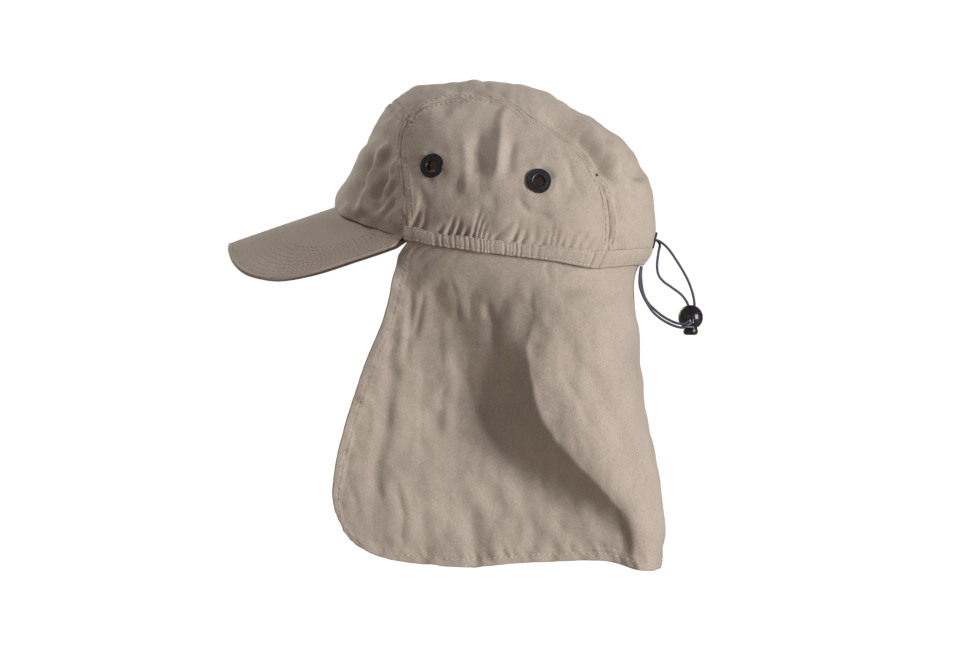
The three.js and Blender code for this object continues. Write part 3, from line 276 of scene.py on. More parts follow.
class CapSettings(bpy.types.PropertyGroup):
    """Sizes and colours of the cap's cloth and trim."""

    cloth_thickness: FloatProperty(
        name="Cloth", description="Thickness of the crown and flap", default=0.0012, unit="LENGTH")
    cord_diameter: FloatProperty(
        name="Elastic", description="Diameter of the elastic cord", default=0.0016, unit="LENGTH")
    crease_strength: FloatProperty(
        name="Creases", description="How deep the fine creases are", default=1.25, min=0, max=3)
    gather_depth: FloatProperty(
        name="Gathers", description="Depth of the band's gathers", default=0.0009, unit="LENGTH")
    gather_pitch: FloatProperty(
        name="Gather pitch", description="From one gather to the next", default=0.0033, unit="LENGTH")
    stitch_pitch: FloatProperty(
        name="Stitch pitch", description="From one stitch to the next", default=0.0031, unit="LENGTH")
    stitch_width: FloatProperty(
        name="Thread", description="Width of the sewing thread", default=0.00056, unit="LENGTH")
    threads_per_cm: IntProperty(
        name="Threads", description="Threads in a centimetre of cloth", default=17, min=5, max=40)
    cloth_colour: FloatVectorProperty(
        name="Cloth colour", description="Colour of the crown and flap", subtype="COLOR",
        size=4, default=(0.43, 0.372, 0.322, 1))
    peak_colour: FloatVectorProperty(
        name="Peak colour", description="Colour of the peak", subtype="COLOR",
        size=4, default=(0.4, 0.343, 0.296, 1))
    thread_colour: FloatVectorProperty(
        name="Thread colour", description="Colour of the sewing thread", subtype="COLOR",
        size=4, default=(0.62, 0.55, 0.47, 1))
    eyelet_colour: FloatVectorProperty(
        name="Eyelet colour", description="Colour of the enamelled eyelets", subtype="COLOR",
        size=4, default=(0.012, 0.011, 0.016, 1))
    elastic_colour: FloatVectorProperty(
        name="Elastic colour", description="Colour of the elastic cord", subtype="COLOR",
        size=4, default=(0.003, 0.003, 0.0065, 1))
    lock_colour: FloatVectorProperty(
        name="Lock colour", description="Colour of the cord lock", subtype="COLOR",
        size=4, default=(0.01, 0.01, 0.014, 1))


def settings():
    return bpy.context.scene.cap_settings


# Reading tables and curves


def smooth_rows(rows):
    """A reader of a table of rows: the other columns at any value of the first."""
    xs = np.array([r[0] for r in rows], float)
    ys = np.array([r[1:] for r in rows], float)
    last = len(xs) - 1

    def read(at):
        t = np.clip(np.asarray(at, float), xs[0], xs[-1])
        i = np.clip(np.searchsorted(xs, t, side="right"), 1, last)
        t0, t1 = xs[i - 1], xs[i]
        has_before, has_after = i >= 2, i < last
        before = np.where(has_before, xs[np.maximum(i - 2, 0)], t1)
        after = np.where(has_after, xs[np.minimum(i + 1, last)], t0)
        y_before = np.where(has_before[..., None], ys[np.maximum(i - 2, 0)], ys[i])
        y_after = np.where(has_after[..., None], ys[np.minimum(i + 1, last)], ys[i - 1])
        wb = ((t1 - t0) / 2 / (t0 - before))[..., None]
        wa = ((t1 - t0) / 2 / (after - t1))[..., None]
        p = ((t - t0) / (t1 - t0))[..., None]
        p2, p3 = p * p, p * p * p
        return (
            (-wb * p3 + 2 * wb * p2 - wb * p) * y_before
            + ((1 + wb) * p3 + (-1.5 - 2 * wb) * p2 + (-0.5 + wb) * p + 1) * ys[i - 1]
            + ((-1 - wa) * p3 + (1.5 + wa) * p2 + 0.5 * p) * ys[i]
            + (wa * p3 - wa * p2) * y_after
        )

    return read


def curve_through(points, per_leg=60):
    """A smooth curve through points, as many close points. It is a centripetal spline."""
    pts = [np.array(p, float) for p in points]
    pts = [2 * pts[0] - pts[1], *pts, 2 * pts[-1] - pts[-2]]
    made = []
    for a, b, c, d in zip(pts, pts[1:], pts[2:], pts[3:]):
        d0, d1, d2 = (max(1e-9, np.linalg.norm(q - p) ** 0.5) for p, q in ((a, b), (b, c), (c, d)))
        m1 = ((b - a) / d0 - (c - a) / (d0 + d1) + (c - b) / d1) * d1
        m2 = ((c - b) / d1 - (d - b) / (d1 + d2) + (d - c) / d2) * d1
        t = np.linspace(0, 1, per_leg, endpoint=False)[:, None]
        made.append(b + m1 * t + (-3 * b + 3 * c - 2 * m1 - m2) * t**2 + (2 * b - 2 * c + m1 + m2) * t**3)
    return np.vstack([*made, pts[-2][None]])


def along(points):
    """Length along a line of points, at each point."""
    return np.concatenate([[0], np.cumsum(np.linalg.norm(np.diff(points, axis=0), axis=1))])


def mix(a, b, t):
    return a + (b - a) * t


def ease(t):
    """From 0 to 1, level at both ends."""
    return t * t * (3 - 2 * t)


def smooth(low, high, value):
    """0 below low, 1 above high, and smooth between them."""
    return ease(np.clip((np.asarray(value, float) - low) / (high - low), 0, 1))


def swell(value, middle, width):
    """1 at the middle, falling smoothly to nothing over the width on each side."""
    return np.exp(-(((value - middle) / width) ** 2))


def unit(vectors):
    return vectors / np.linalg.norm(vectors, axis=-1, keepdims=True)


def station_of(share, front, back):
    """Place along x of a share of the front or back length."""
    share = np.asarray(share, float)
    return share * np.where(share < 0, front, back)


def share_of(x, front, back):
    """The share of the front or back length at a place along x."""
    x = np.asarray(x, float)
    return x / np.where(x < 0, front, back)


class Noise:
    """Smooth seeded noise over a plane, from about -1 to 1."""

    CELLS = 64

    def __init__(self, seed):
        self.grid = np.random.default_rng(seed).uniform(-1, 1, (self.CELLS, self.CELLS))

    def __call__(self, x, y):
        x, y = np.broadcast_arrays(np.asarray(x, float), np.asarray(y, float))
        ix, iy = np.floor(x).astype(int), np.floor(y).astype(int)
        fx, fy = x - ix, y - iy
        fx, fy = fx**3 * (fx * (fx * 6 - 15) + 10), fy**3 * (fy * (fy * 6 - 15) + 10)
        x0, x1, y0, y1 = (k % self.CELLS for k in (ix, ix + 1, iy, iy + 1))
        g = self.grid
        return mix(mix(g[x0, y0], g[x1, y0], fx), mix(g[x0, y1], g[x1, y1], fx), fy)


# The form of the crown


def outline_table():
    """The crown's outline as angle and radius round the middle of its core."""
    rise = CROWN_HEIGHT - CORE_HEIGHT
    rows = []
    for x, z in CROWN_OUTLINE:
        out, up = float(station_of(x, CROWN_FRONT, CROWN_BACK)), z * rise
        rows.append((math.atan2(up, -out), math.hypot(out, up)))
    return rows


outline_radius = smooth_rows(outline_table())
lower_wall = smooth_rows(LOWER_WALL)
band_lines = smooth_rows(BAND_LINES)
flap_rows = smooth_rows(FLAP_ROWS_TABLE)
flap_hem = smooth_rows(FLAP_HEM)


def band_heights(x):
    """Heights of the band's lower and upper edge."""
    read = band_lines(share_of(x, CROWN_FRONT, CROWN_BACK)) * CORE_HEIGHT
    return read[..., 0], read[..., 1]


def crown_skin(girth, across):
    """The crown's nominal skin: girth runs front to back over the top, across from the middle to the ear."""
    girth, across = np.broadcast_arrays(np.asarray(girth, float), np.asarray(across, float))
    rho = np.maximum(0, np.cos(across)) ** (2 / PLAN_POWER)
    over = np.sign(across) * np.abs(np.sin(across)) ** (2 / SIDE_POWER)
    past = np.where(girth < 0, -girth, girth - np.pi)
    above = past <= 0
    radius = outline_radius(np.clip(girth, 0, np.pi))[..., 0]
    wall = lower_wall(np.maximum(past, 0) * GIRTH_DROP / CORE_HEIGHT)
    reach = np.where(girth < 0, -CROWN_FRONT * wall[..., 0], CROWN_BACK * wall[..., 1])
    return np.stack([
        np.where(above, -np.cos(girth) * radius, reach) * rho,
        over * CROWN_HALF_WIDTH * np.where(above, 1, wall[..., 2]),
        np.where(above, CORE_HEIGHT + np.sin(girth) * radius * rho, CORE_HEIGHT - past * GIRTH_DROP),
    ], -1)


def girth_of(x, z):
    """The girth and across of the point of the skin that shows at x, z from the side."""
    x, z = np.broadcast_arrays(np.asarray(x, float), np.asarray(z, float))
    above = z >= CORE_HEIGHT
    girth_up = np.arctan2(z - CORE_HEIGHT, -x)
    rho_up = np.hypot(x, z - CORE_HEIGHT) / outline_radius(np.clip(girth_up, 0, np.pi))[..., 0]
    past = (CORE_HEIGHT - z) / GIRTH_DROP
    wall = lower_wall((CORE_HEIGHT - z) / CORE_HEIGHT)
    reach = np.where(x < 0, CROWN_FRONT * wall[..., 0], CROWN_BACK * wall[..., 1])
    rho = np.clip(np.where(above, rho_up, np.abs(x) / reach), 0, 1)
    return np.where(above, girth_up, np.where(x < 0, -past, np.pi + past)), np.arccos(rho ** (PLAN_POWER / 2))


def furrow_depth(furrows, x, z, front, back, height):
    """How far the furrows of a list press in at points seen from the side."""
    pressed = np.zeros(np.shape(x))
    for depth, width, path in furrows:
        pts = [np.array([float(station_of(px, front, back)), pz * height]) for px, pz in path]
        nearest = np.full(np.shape(x), np.inf)
        place = np.zeros(np.shape(x))
        for i, (a, b) in enumerate(zip(pts, pts[1:])):
            leg = b - a
            share = np.clip(((x - a[0]) * leg[0] + (z - a[1]) * leg[1]) / leg.dot(leg), 0, 1)
            away = np.hypot(x - a[0] - leg[0] * share, z - a[1] - leg[1] * share)
            closer = away < nearest
            nearest = np.where(closer, away, nearest)
            place = np.where(closer, (i + share) / (len(pts) - 1), place)
        fade = smooth(-0.05, 0.3, place) * (1 - smooth(0.8, 1.05, place))
        pressed += depth * fade * swell(nearest, 0, width)
    return pressed


seam_line = curve_through([
    (float(station_of(x, CROWN_FRONT, CROWN_BACK)), 0, z * CROWN_HEIGHT) for x, z in SIDE_SEAM
])
seam_lengths = along(seam_line) / along(seam_line)[-1]


def seam_point(step):
    """x, z of the side seam at a step: the front leg, the arch and the back leg."""
    share = np.interp(step, [0, LEG, LEG + ARCH, STEPS], [0, FRONT_SHOULDER, BACK_SHOULDER, 1])
    return np.interp(share, seam_lengths, seam_line[:, 0]), np.interp(share, seam_lengths, seam_line[:, 2])


def panel_foot(x):
    """Height of the panels' lower edge behind the band."""
    low, high = band_heights(x)
    corner_x, corner_z = seam_point(0)
    corner_low, corner_high = band_heights(corner_x)
    drop = mix(corner_low, corner_high, PANEL_FOOT_SHARE) - corner_z
    return mix(low, high, PANEL_FOOT_SHARE) - drop * (1 - smooth(corner_x, corner_x * 0.7, x))


def seam_on_crown(step):
    """x, z of the side seam at a step, with its back leg carried down to the panels' foot."""
    x, z = seam_point(step)
    share = np.clip((np.asarray(step, float) - LEG - ARCH) / LEG, 0, 1)
    foot_x, foot_z = seam_point(STEPS)
    return x, z + (panel_foot(foot_x) - foot_z) * share**2


def side_skin(x, z, side):
    """The point of the skin that shows at x, z from one side."""
    girth, across = girth_of(x, z)
    y = np.abs(crown_skin(girth, across)[..., 1])
    return np.stack([x, side * y, z], -1)


def strip_skin(step, share):
    """A point of the strip over the head: share is -1 and 1 at the two side seams."""
    step, share = np.broadcast_arrays(np.asarray(step, float), np.asarray(share, float))
    girth, across = girth_of(*seam_on_crown(step))
    forehead = math.atan2(PEAK_SEAM_HEIGHT - CORE_HEIGHT, CROWN_FRONT)
    nape = math.pi + (CORE_HEIGHT - float(panel_foot(CROWN_BACK))) / GIRTH_DROP
    front_shoulder = float(girth_of(*seam_point(LEG))[0])
    back_shoulder = float(girth_of(*seam_point(LEG + ARCH))[0])
    middle = np.where(step < LEG, mix(front_shoulder, forehead, 1 - step / LEG), girth)
    middle = np.where(step > LEG + ARCH, mix(back_shoulder, nape, (step - LEG - ARCH) / LEG), middle)
    return crown_skin(mix(middle, girth, np.abs(share) ** 1.25), share * across)


def wall_angle(x, z):
    """Angle from the back, round the head, of the wall's point at x, z."""
    _, across = girth_of(x, z)
    return np.where(np.asarray(x) < 0, np.pi - across, across)


def wall_skin(angle, z):
    """A point of the wall round the head, by the angle from the back and by height."""
    front = np.cos(angle) < 0
    past = np.maximum(1e-6, (CORE_HEIGHT - z) / GIRTH_DROP)
    across = np.where(front, np.pi - np.abs(angle), np.abs(angle)) * np.where(angle < 0, -1, 1)
    return crown_skin(np.where(front, -past, np.pi + past), across)


# Patches: a cloth piece as a grid of points, in millimetres


class Patch:
    """A grid of points over a piece of cloth, with its normals and the lengths across it."""

    def __init__(self, points, outward):
        self.points = points
        n = np.cross(np.gradient(points, axis=0), np.gradient(points, axis=1))
        n /= np.maximum(1e-12, np.linalg.norm(n, axis=-1, keepdims=True))
        self.normals = n if np.median(np.sum(n * outward, -1)) > 0 else -n

    def lengths(self, axis):
        """Length from the first row or column, at each point."""
        steps = np.linalg.norm(np.diff(self.points, axis=axis), axis=-1)
        pad = ((1, 0), (0, 0)) if axis == 0 else ((0, 0), (1, 0))
        return np.pad(np.cumsum(steps, axis=axis), pad)

    def press(self, depth):
        """Moves the cloth in along its normal."""
        self.points = self.points - self.normals * depth[..., None]


def crowd(count, strength):
    """Shares from 0 to 1 that lie closer together at both ends."""
    t = np.linspace(0, 1, count)
    return t - strength / (2 * math.pi) * np.sin(2 * math.pi * t)


def crown_inset(points):
    """How far the crown's cloth lies inside its nominal skin: tucked behind the band, furrowed and creased."""
    x, z = points[..., 0], points[..., 2]
    _, high = band_heights(x)
    corner = SIDE_SEAM[0][0] * CROWN_FRONT
    behind = smooth(corner * 1.12, corner, x)
    tuck = (BAND_THICKNESS - BAND_PROUD + GAP) * behind * (1 - smooth(high + 3, high + 13, z))
    away = smooth(high, high + 12, z)
    press, crease = (
        furrow_depth(paths, x, z, CROWN_FRONT, CROWN_BACK, CROWN_HEIGHT)
        for paths in (CROWN_FURROWS, CROWN_CREASES)
    )
    crease = crease * (1 + FRONT_CREASES_DEEPER * (1 - smooth(corner * 1.2, corner, x)))
    return tuck + away * (press + crease * settings().crease_strength)


def waves(noise, x, z, kind):
    """Waves of one kind, which gives their depth and their size along x and z."""
    depth, along_x, along_z = kind
    return depth * noise(x / along_x, z / along_z)


def soft_unevenness(points, seed, scale=1.0):
    """The gentle waves and small creases of cloth that has been worn, in millimetres."""
    lean, bend_depth, bend_size, crease_depth = 0.35, 6, 30, SHARP_CREASES[0]
    x, z = points[..., 0], points[..., 2] + lean * points[..., 1]
    broad, mid, fine, warp = Noise(seed), Noise(seed + 3), Noise(seed + 1), Noise(seed + 2)
    bend = bend_depth * warp(x / bend_size, z / bend_size)
    creases = np.abs(waves(fine, x + bend, z - bend, (1.0, *SHARP_CREASES[1:]))) ** 0.7
    soft = waves(broad, x, z, BROAD_WAVES) + waves(mid, x + bend, z - bend, DENTS) + waves(fine, x, z, FINE_WAVES)
    return scale * (soft - crease_depth * creases)


def crest(lane):
    """1 on each whole lane and 0 half way between two."""
    return 0.5 + 0.5 * np.cos(2 * np.pi * lane)


def gathers_above_band(points, arc, seed):
    """Small upright creases that run up from the band, in millimetres."""
    depth, pitch, lean, wander, height, height_spread = 1.9, 5.4, 0.4, 1.1, 15, 10
    x, z = points[..., 0], points[..., 2]
    _, high = band_heights(x)
    rise = z - high
    lane = (arc - lean * rise) / pitch + wander * Noise(seed)(arc / 15, rise / 30)
    reach = height + height_spread * Noise(seed + 3)(arc / 7.5, 0 * z)
    strength = (0.3 + 0.7 * (1 - smooth(15, 60, x))) * (0.75 + 0.6 * Noise(seed + 5)(arc / 12, 0 * z))
    return depth * strength * crest(lane) ** 1.3 * (1 - smooth(0, 1, rise / reach))


def seam_relief(distance, run, seed):
    """Depth of the cloth beside a seam: turned in, raised over the allowance and puckered by the thread."""
    edge_depth, allowance_height, thread_depth, pucker_depth = 0.45, 0.3, 0.3, 0.6
    turned = edge_depth * swell(distance, 0, 0.5)
    allowance = -allowance_height * smooth(0.6, 1.8, distance) * (1 - smooth(4.4, 6.2, distance))
    holes = 0.7 + 0.45 * np.cos(2 * np.pi * run / (settings().stitch_pitch / MM))
    thread = thread_depth * holes * swell(distance, SEAM_STITCH, 0.75)
    pucker = Noise(seed)(run / 4.2, distance / 9) * smooth(0, 1.5, distance) * swell(distance, 0, 7.5)
    return turned + allowance + thread + pucker_depth * pucker


def eyelet_pull(points, centre, radius, seed):
    """The cloth round an eyelet is pressed flat under its rim and pulled into short rays."""
    ray_depth, ray_reach, rim_depth, rim_reach = 0.5, 5, 0.35, 1.6
    away = points - centre
    distance = np.linalg.norm(away, axis=-1)
    turn = np.arctan2(away[..., 2], away[..., 0])
    rays = Noise(seed)(turn * 2.2 + 20, distance / 30)
    return ray_depth * rays * swell(distance, radius, ray_reach) + rim_depth * swell(distance, radius, rim_reach)


# Making objects


def smooth_faces(bm):
    for face in bm.faces:
        face.smooth = True


def object_from(name, bm, finish):
    """Makes a mesh the object of a piece, and frees it."""
    mesh = bpy.data.meshes.new(name)
    bm.to_mesh(mesh)
    bm.free()
    obj = bpy.data.objects.new(name, mesh)
    bpy.context.scene.collection.objects.link(obj)
    mesh.materials.append(finish)
    return obj


def finish_piece(obj, slot_name, *nodes, body="cap"):
    """Hangs a piece on the empty of the body that it rides on and hides the nodes that it stands for. The slot
    name, for its finish, is not used.
    """
    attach(obj, body)
    if nodes:
        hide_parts(*nodes)
    return obj


def cloth_object(name, patch, finish, thickness):
    """A cloth piece from a patch: a grid of faces laid on its points, then given its thickness inwards."""
    cols, rows = patch.points.shape[:2]
    bm = bmesh.new()
    bmesh.ops.create_grid(bm, x_segments=cols - 1, y_segments=rows - 1, size=1.0)
    bm.verts.ensure_lookup_table()
    places = np.array([v.co[:2] for v in bm.verts])
    i, j = (np.rint((places[:, a] + 1) / 2 * (count - 1)).astype(int) for a, count in ((0, cols), (1, rows)))
    for v, spot in zip(bm.verts, patch.points[i, j] * MM):
        v.co = spot
    uvs = np.stack([patch.lengths(0)[i, j], patch.lengths(1)[i, j]], -1) / UV_UNIT
    layer = bm.loops.layers.uv.new("cloth")
    for face in bm.faces:
        for loop in face.loops:
            loop[layer].uv = uvs[loop.vert.index]
    smooth_faces(bm)
    bm.normal_update()
    bm.faces.ensure_lookup_table()
    middle = bm.faces[len(bm.faces) // 2 + cols // 2]
    v = middle.verts[0].index
    if middle.normal.dot(Vector(patch.normals[i[v], j[v]])) < 0:
        bmesh.ops.reverse_faces(bm, faces=bm.faces)
    obj = object_from(name, bm, finish)
    if thickness:
        wall = obj.modifiers.new("wall", "SOLIDIFY")
        wall.thickness = thickness
        wall.offset = -1
        wall.use_even_offset = False
        wall.use_quality_normals = True
    return obj


def turned(name, profile, steps, place, finish, closed=False):
    """A piece turned round the z axis from a profile of radius and height, in millimetres, at its place."""
    bm = bmesh.new()
    verts = [bm.verts.new((r, 0, h)) for r, h in profile]
    edges = [bm.edges.new(pair) for pair in zip(verts, verts[1:] + (verts[:1] if closed else []))]
    bmesh.ops.spin(bm, geom=verts + edges, cent=(0, 0, 0), axis=(0, 0, 1), angle=2 * math.pi, steps=steps,
                   use_merge=True)
    bmesh.ops.remove_doubles(bm, verts=bm.verts, dist=1e-4)
    bmesh.ops.recalc_face_normals(bm, faces=bm.faces)
    smooth_faces(bm)
    bmesh.ops.transform(bm, verts=bm.verts, matrix=Matrix.Scale(MM, 4) @ place)
    return object_from(name, bm, finish)


def surface_of(*objects):
    """Search trees over the cloths' own faces, without their thickness."""
    meshes = [o.data for o in objects]
    return [BVHTree.FromPolygons([v.co for v in m.vertices], [p.vertices[:] for p in m.polygons]) for m in meshes]


def stitch_places(line, trees, pitch, width):
    """Where each stitch of a row lies, on the cloth nearest to a line of points in metres."""
    runs = along(line)
    places = []

    def point(run):
        return Vector([np.interp(run, runs, line[:, a]) for a in range(3)])

    for k in range(int(runs[-1] / pitch)):
        run = (k + 0.5) * pitch
        here = point(run)
        found = min((t.find_nearest(here) for t in trees), key=lambda f: f[3] if f[0] else math.inf)
        if found[0] is None:
            continue
        normal = found[1]
        way = point(min(runs[-1], run + pitch / 2)) - point(max(0, run - pitch / 2))
        way -= normal * way.dot(normal)
        if way.length < 1e-7:
            continue
        way.normalize()
        turn = Matrix((way, normal.cross(way), normal)).transposed().to_4x4()
        size = Matrix.Diagonal((pitch * STITCH_SHARE / 2, width / 2, width * STITCH_HEIGHT, 1))
        places.append(Matrix.Translation(found[0] + normal * STITCH_LIFT) @ turn @ size)
    return places


def stitching(name, rows, trees, finish, pitch=None, width=None):
    """One object that holds every stitch of several rows. They are made in small lots, which is quicker."""
    whole = bmesh.new()
    for line in rows:
        places = stitch_places(
            np.asarray(line), trees, pitch or settings().stitch_pitch, width or settings().stitch_width)
        for k in range(0, len(places), STITCH_LOT):
            lot = bmesh.new()
            for place in places[k : k + STITCH_LOT]:
                bmesh.ops.create_uvsphere(lot, u_segments=6, v_segments=4, radius=1, matrix=place)
            mesh = bpy.data.meshes.new("lot")
            lot.to_mesh(mesh)
            lot.free()
            whole.from_mesh(mesh)
            bpy.data.meshes.remove(mesh)
    smooth_faces(whole)
    return finish_piece(object_from(name, whole, finish), "cloth")


# Materials


class Nodes:
    """Short ways to add shader nodes to a material."""

    def __init__(self, name):
        self.material = bpy.data.materials.new(name)
        self.material.use_nodes = True
        self.tree = self.material.node_tree
        self.shader = self.tree.nodes["Principled BSDF"]

    def add(self, kind, inputs=(), **facts):
        node = self.tree.nodes.new(kind)
        for key, value in facts.items():
            setattr(node, key, value)
        for key, value in dict(inputs).items():
            if isinstance(value, bpy.types.NodeSocket):
                self.tree.links.new(value, node.inputs[key])
            else:
                node.inputs[key].default_value = value
        return node

    def math(self, operation, *values):
        return self.add("ShaderNodeMath", dict(enumerate(values)), operation=operation).outputs[0]

    def uv(self, name):
        """The map itself, and its two parts."""
        uv = self.add("ShaderNodeUVMap", uv_map=name).outputs["UV"]
        return uv, *self.add("ShaderNodeSeparateXYZ", {0: uv}).outputs[:2]

    def place(self):
        return self.add("ShaderNodeTexCoord").outputs["Object"]

    def noise(self, vector, scale, detail, roughness=0.5):
        return self.add("ShaderNodeTexNoise", {
            "Vector": vector, "Scale": scale, "Detail": detail, "Roughness": roughness}).outputs["Fac"]

    def bump(self, height, strength, distance, **under):
        return self.add("ShaderNodeBump", {
            "Strength": strength, "Distance": distance, "Height": height, **under}).outputs[0]

    def colour(self, value, low, dark, high, light):
        """Colours the surface from dark at low to light at high."""
        ramp = self.add("ShaderNodeValToRGB", {"Fac": value})
        ends = ramp.color_ramp.elements
        ends[0].position, ends[0].color = low, dark
        ends[1].position, ends[1].color = high, light
        self.link(ramp.outputs["Color"], "Base Color")

    def link(self, value, socket):
        self.tree.links.new(value, self.shader.inputs[socket])

    def finish(self, values):
        """Sets what is the same all over, on the shader's own sockets."""
        for socket, value in values.items():
            self.shader.inputs[socket].default_value = value
        return self.material


def shade(colour, factor=1):
    return [min(1, c * factor) for c in colour[:3]] + [1]


def cloth_material(name, colour, weave_depth=0.00014, slub=0.12, crumple=0.0006, roughness=0.92):
    """Plain-woven cloth: crossing threads, uneven dye and small slubs."""
    n = Nodes(name)
    uv, across, up = n.uv("cloth")
    place = n.place()
    threads = settings().threads_per_cm * 10
    warp, weft = (n.math("SINE", n.math("MULTIPLY", way, threads * math.pi)) for way in (across, up))
    weave = n.math("MULTIPLY_ADD", n.math("MULTIPLY", warp, weft), 0.5, 0.5)
    stretched = (
        n.add("ShaderNodeMapping", {"Vector": uv, "Scale": scale}).outputs[0]
        for scale in ((9.0, 160.0, 1.0), (160.0, 9.0, 1.0))
    )
    slubs = n.math("ADD", *(n.noise(vector, 3.0, 3.0, 0.6) for vector in stretched))
    dye, grain = n.noise(place, 22.0, 4.0, 0.55), n.noise(place, 900.0, 2.0, 0.7)
    tone = n.math("MULTIPLY", n.math("ADD", slubs, n.math("ADD", dye, grain)), 0.25)
    n.colour(tone, 0.41, shade(colour, 1 - slub * 1.6), 0.59, shade(colour, 1 + slub * 1.4))
    relief = n.math("ADD", n.math("MULTIPLY", weave, 0.55), n.math("MULTIPLY", slubs, 0.6))
    threads_bump = n.bump(relief, 0.45, weave_depth)
    n.link(n.bump(n.noise(place, 210.0, 3.0), 0.5, crumple, Normal=threads_bump), "Normal")
    return n.finish({
        "Roughness": roughness, "Specular IOR Level": 0.25, "Sheen Weight": 0.12, "Sheen Roughness": 0.5})


def thread_material(name, colour):
    """Twisted sewing thread."""
    n = Nodes(name)
    n.colour(n.noise(n.place(), 1500.0, 2.0), 0.3, shade(colour, 0.82), 0.7, shade(colour))
    return n.finish({"Roughness": 0.7, "Sheen Weight": 0.2})


def enamel_material(name, colour, roughness=0.32):
    """Black enamel on metal or moulded plastic, with fine scuffs."""
    n = Nodes(name)
    scuff = n.noise(n.place(), 420.0, 5.0, 0.65)
    rough = n.add("ShaderNodeMapRange", {
        "Value": scuff, "From Min": 0.3, "From Max": 0.75, "To Min": roughness - 0.07, "To Max": roughness + 0.14})
    n.link(rough.outputs[0], "Roughness")
    n.colour(scuff, 0.35, shade(colour), 0.8, shade(colour, 2.2))
    n.link(n.bump(scuff, 0.08, 0.00002), "Normal")
    return n.finish({"Specular IOR Level": 0.5})


def elastic_material(name, colour):
    """Braided elastic: two crossing sets of strands on the cord's own map, coloured darker in their grooves as
    painted shade and lighter on their crests as a painted highlight.
    """
    n = Nodes(name)
    _, across, up = n.uv("braid")
    strands_round = 4
    turn = n.math("MULTIPLY", across, 2 * math.pi * strands_round)
    run = n.math("MULTIPLY", up, 2 * math.pi)
    braid = n.math("MAXIMUM", *(n.math("SINE", n.math(way, turn, run)) for way in ("ADD", "SUBTRACT")))
    # Painted shade and highlight: the colour follows the strands' height, darker in the grooves between them and
    # lighter on their crests.
    n.colour(braid, 0.0, shade(colour, 0.6), 1.0, shade(colour, 1.9))
    n.link(n.bump(braid, 0.7, 0.0001), "Normal")
    return n.finish({"Roughness": 0.7, "Specular IOR Level": 0.06})


def material(name, make, *args, **facts):
    """The material of this name, made if it isn't there yet."""
    return bpy.data.materials.get(name) or make(name, *args, **facts)


def khaki():
    return material("khaki_cloth", cloth_material, settings().cloth_colour)


def peak_cloth():
    return material("peak_cloth", cloth_material, settings().peak_colour, slub=0.08, crumple=0.0001)


def khaki_thread():
    return material("khaki_thread", thread_material, settings().thread_colour)


def seam_thread():
    """Thread half way between the sewing thread's colour and the cloth's, for the crown's own seams."""
    halfway = [mix(a, b, 0.5) for a, b in zip(settings().thread_colour, settings().cloth_colour)]
    return material("seam_thread", thread_material, halfway)


def peak_thread():
    return material("peak_thread", thread_material, shade(settings().peak_colour, 1.1))


# Operators


class CAP_OT_stage(bpy.types.Operator):
    """Sets up the camera, the floor and the soft studio light"""

    bl_idname = "cap.stage"
    bl_label = "Stage"

    def execute(self, context):
        scene = context.scene
        camera_data = bpy.data.cameras.new("camera")
        camera_data.sensor_width = CAMERA_SENSOR
        camera_data.lens = CAMERA_LENS
        camera_data.clip_end = CAMERA_REACH
        camera = bpy.data.objects.new("camera", camera_data)
        camera.location = CAMERA_PLACE
        camera.rotation_euler = (math.radians(90), 0, 0)
        scene.collection.objects.link(camera)
        scene.camera = camera
        scene.view_settings.view_transform = "Standard"
        self.floor()
        self.sky(scene)
        for lamp in LAMPS:
            self.lamp(scene, *lamp)
        return {"FINISHED"}

    def floor(self):
        """A pale floor that the camera itself sees as white."""
        bm = bmesh.new()
        bmesh.ops.create_grid(bm, x_segments=2, y_segments=2, size=FLOOR_HALF)
        bmesh.ops.translate(bm, verts=bm.verts, vec=(0, 0, FLOOR_HEIGHT))
        n = Nodes("pale_floor")
        n.finish({"Base Color": (0.4, 0.35, 0.31, 1), "Roughness": 0.9, "Emission Color": (1, 1, 1, 1)})
        n.link(n.add("ShaderNodeLightPath").outputs["Is Camera Ray"], "Emission Strength")
        object_from("floor", bm, n.material)

    def sky(self, scene):
        """An even sky, white to the camera and a dim, warm light on the cap."""
        world = bpy.data.worlds.new("studio")
        world.use_nodes = True
        scene.world = world
        tree = world.node_tree
        seen = tree.nodes.new("ShaderNodeLightPath")
        bright = tree.nodes.new("ShaderNodeMapRange")
        bright.inputs["To Min"].default_value = SKY_LIGHT
        bright.inputs["To Max"].default_value = SKY_SEEN
        tree.links.new(seen.outputs["Is Camera Ray"], bright.inputs["Value"])
        tree.links.new(bright.outputs[0], tree.nodes["Background"].inputs["Strength"])
        tint = tree.nodes.new("ShaderNodeMix")
        tint.data_type = "RGBA"
        tint.inputs["A"].default_value = SKY_TINT
        tint.inputs["B"].default_value = (1, 1, 1, 1)
        tree.links.new(seen.outputs["Is Camera Ray"], tint.inputs["Factor"])
        tree.links.new(tint.outputs["Result"], tree.nodes["Background"].inputs["Color"])

    def lamp(self, scene, name, place, size, power):
        """A soft lamp that points at the middle of the cap."""
        data = bpy.data.lights.new(name, "AREA")
        data.size = size
        data.energy = power
        data.color = LAMP_COLOUR
        lamp = bpy.data.objects.new(name, data)
        lamp.location = place
        lamp.rotation_mode = "QUATERNION"
        lamp.rotation_quaternion = (LAMP_AIM - Vector(place)).to_track_quat("-Z", "Y")
        lamp.visible_camera = False
        scene.collection.objects.link(lamp)


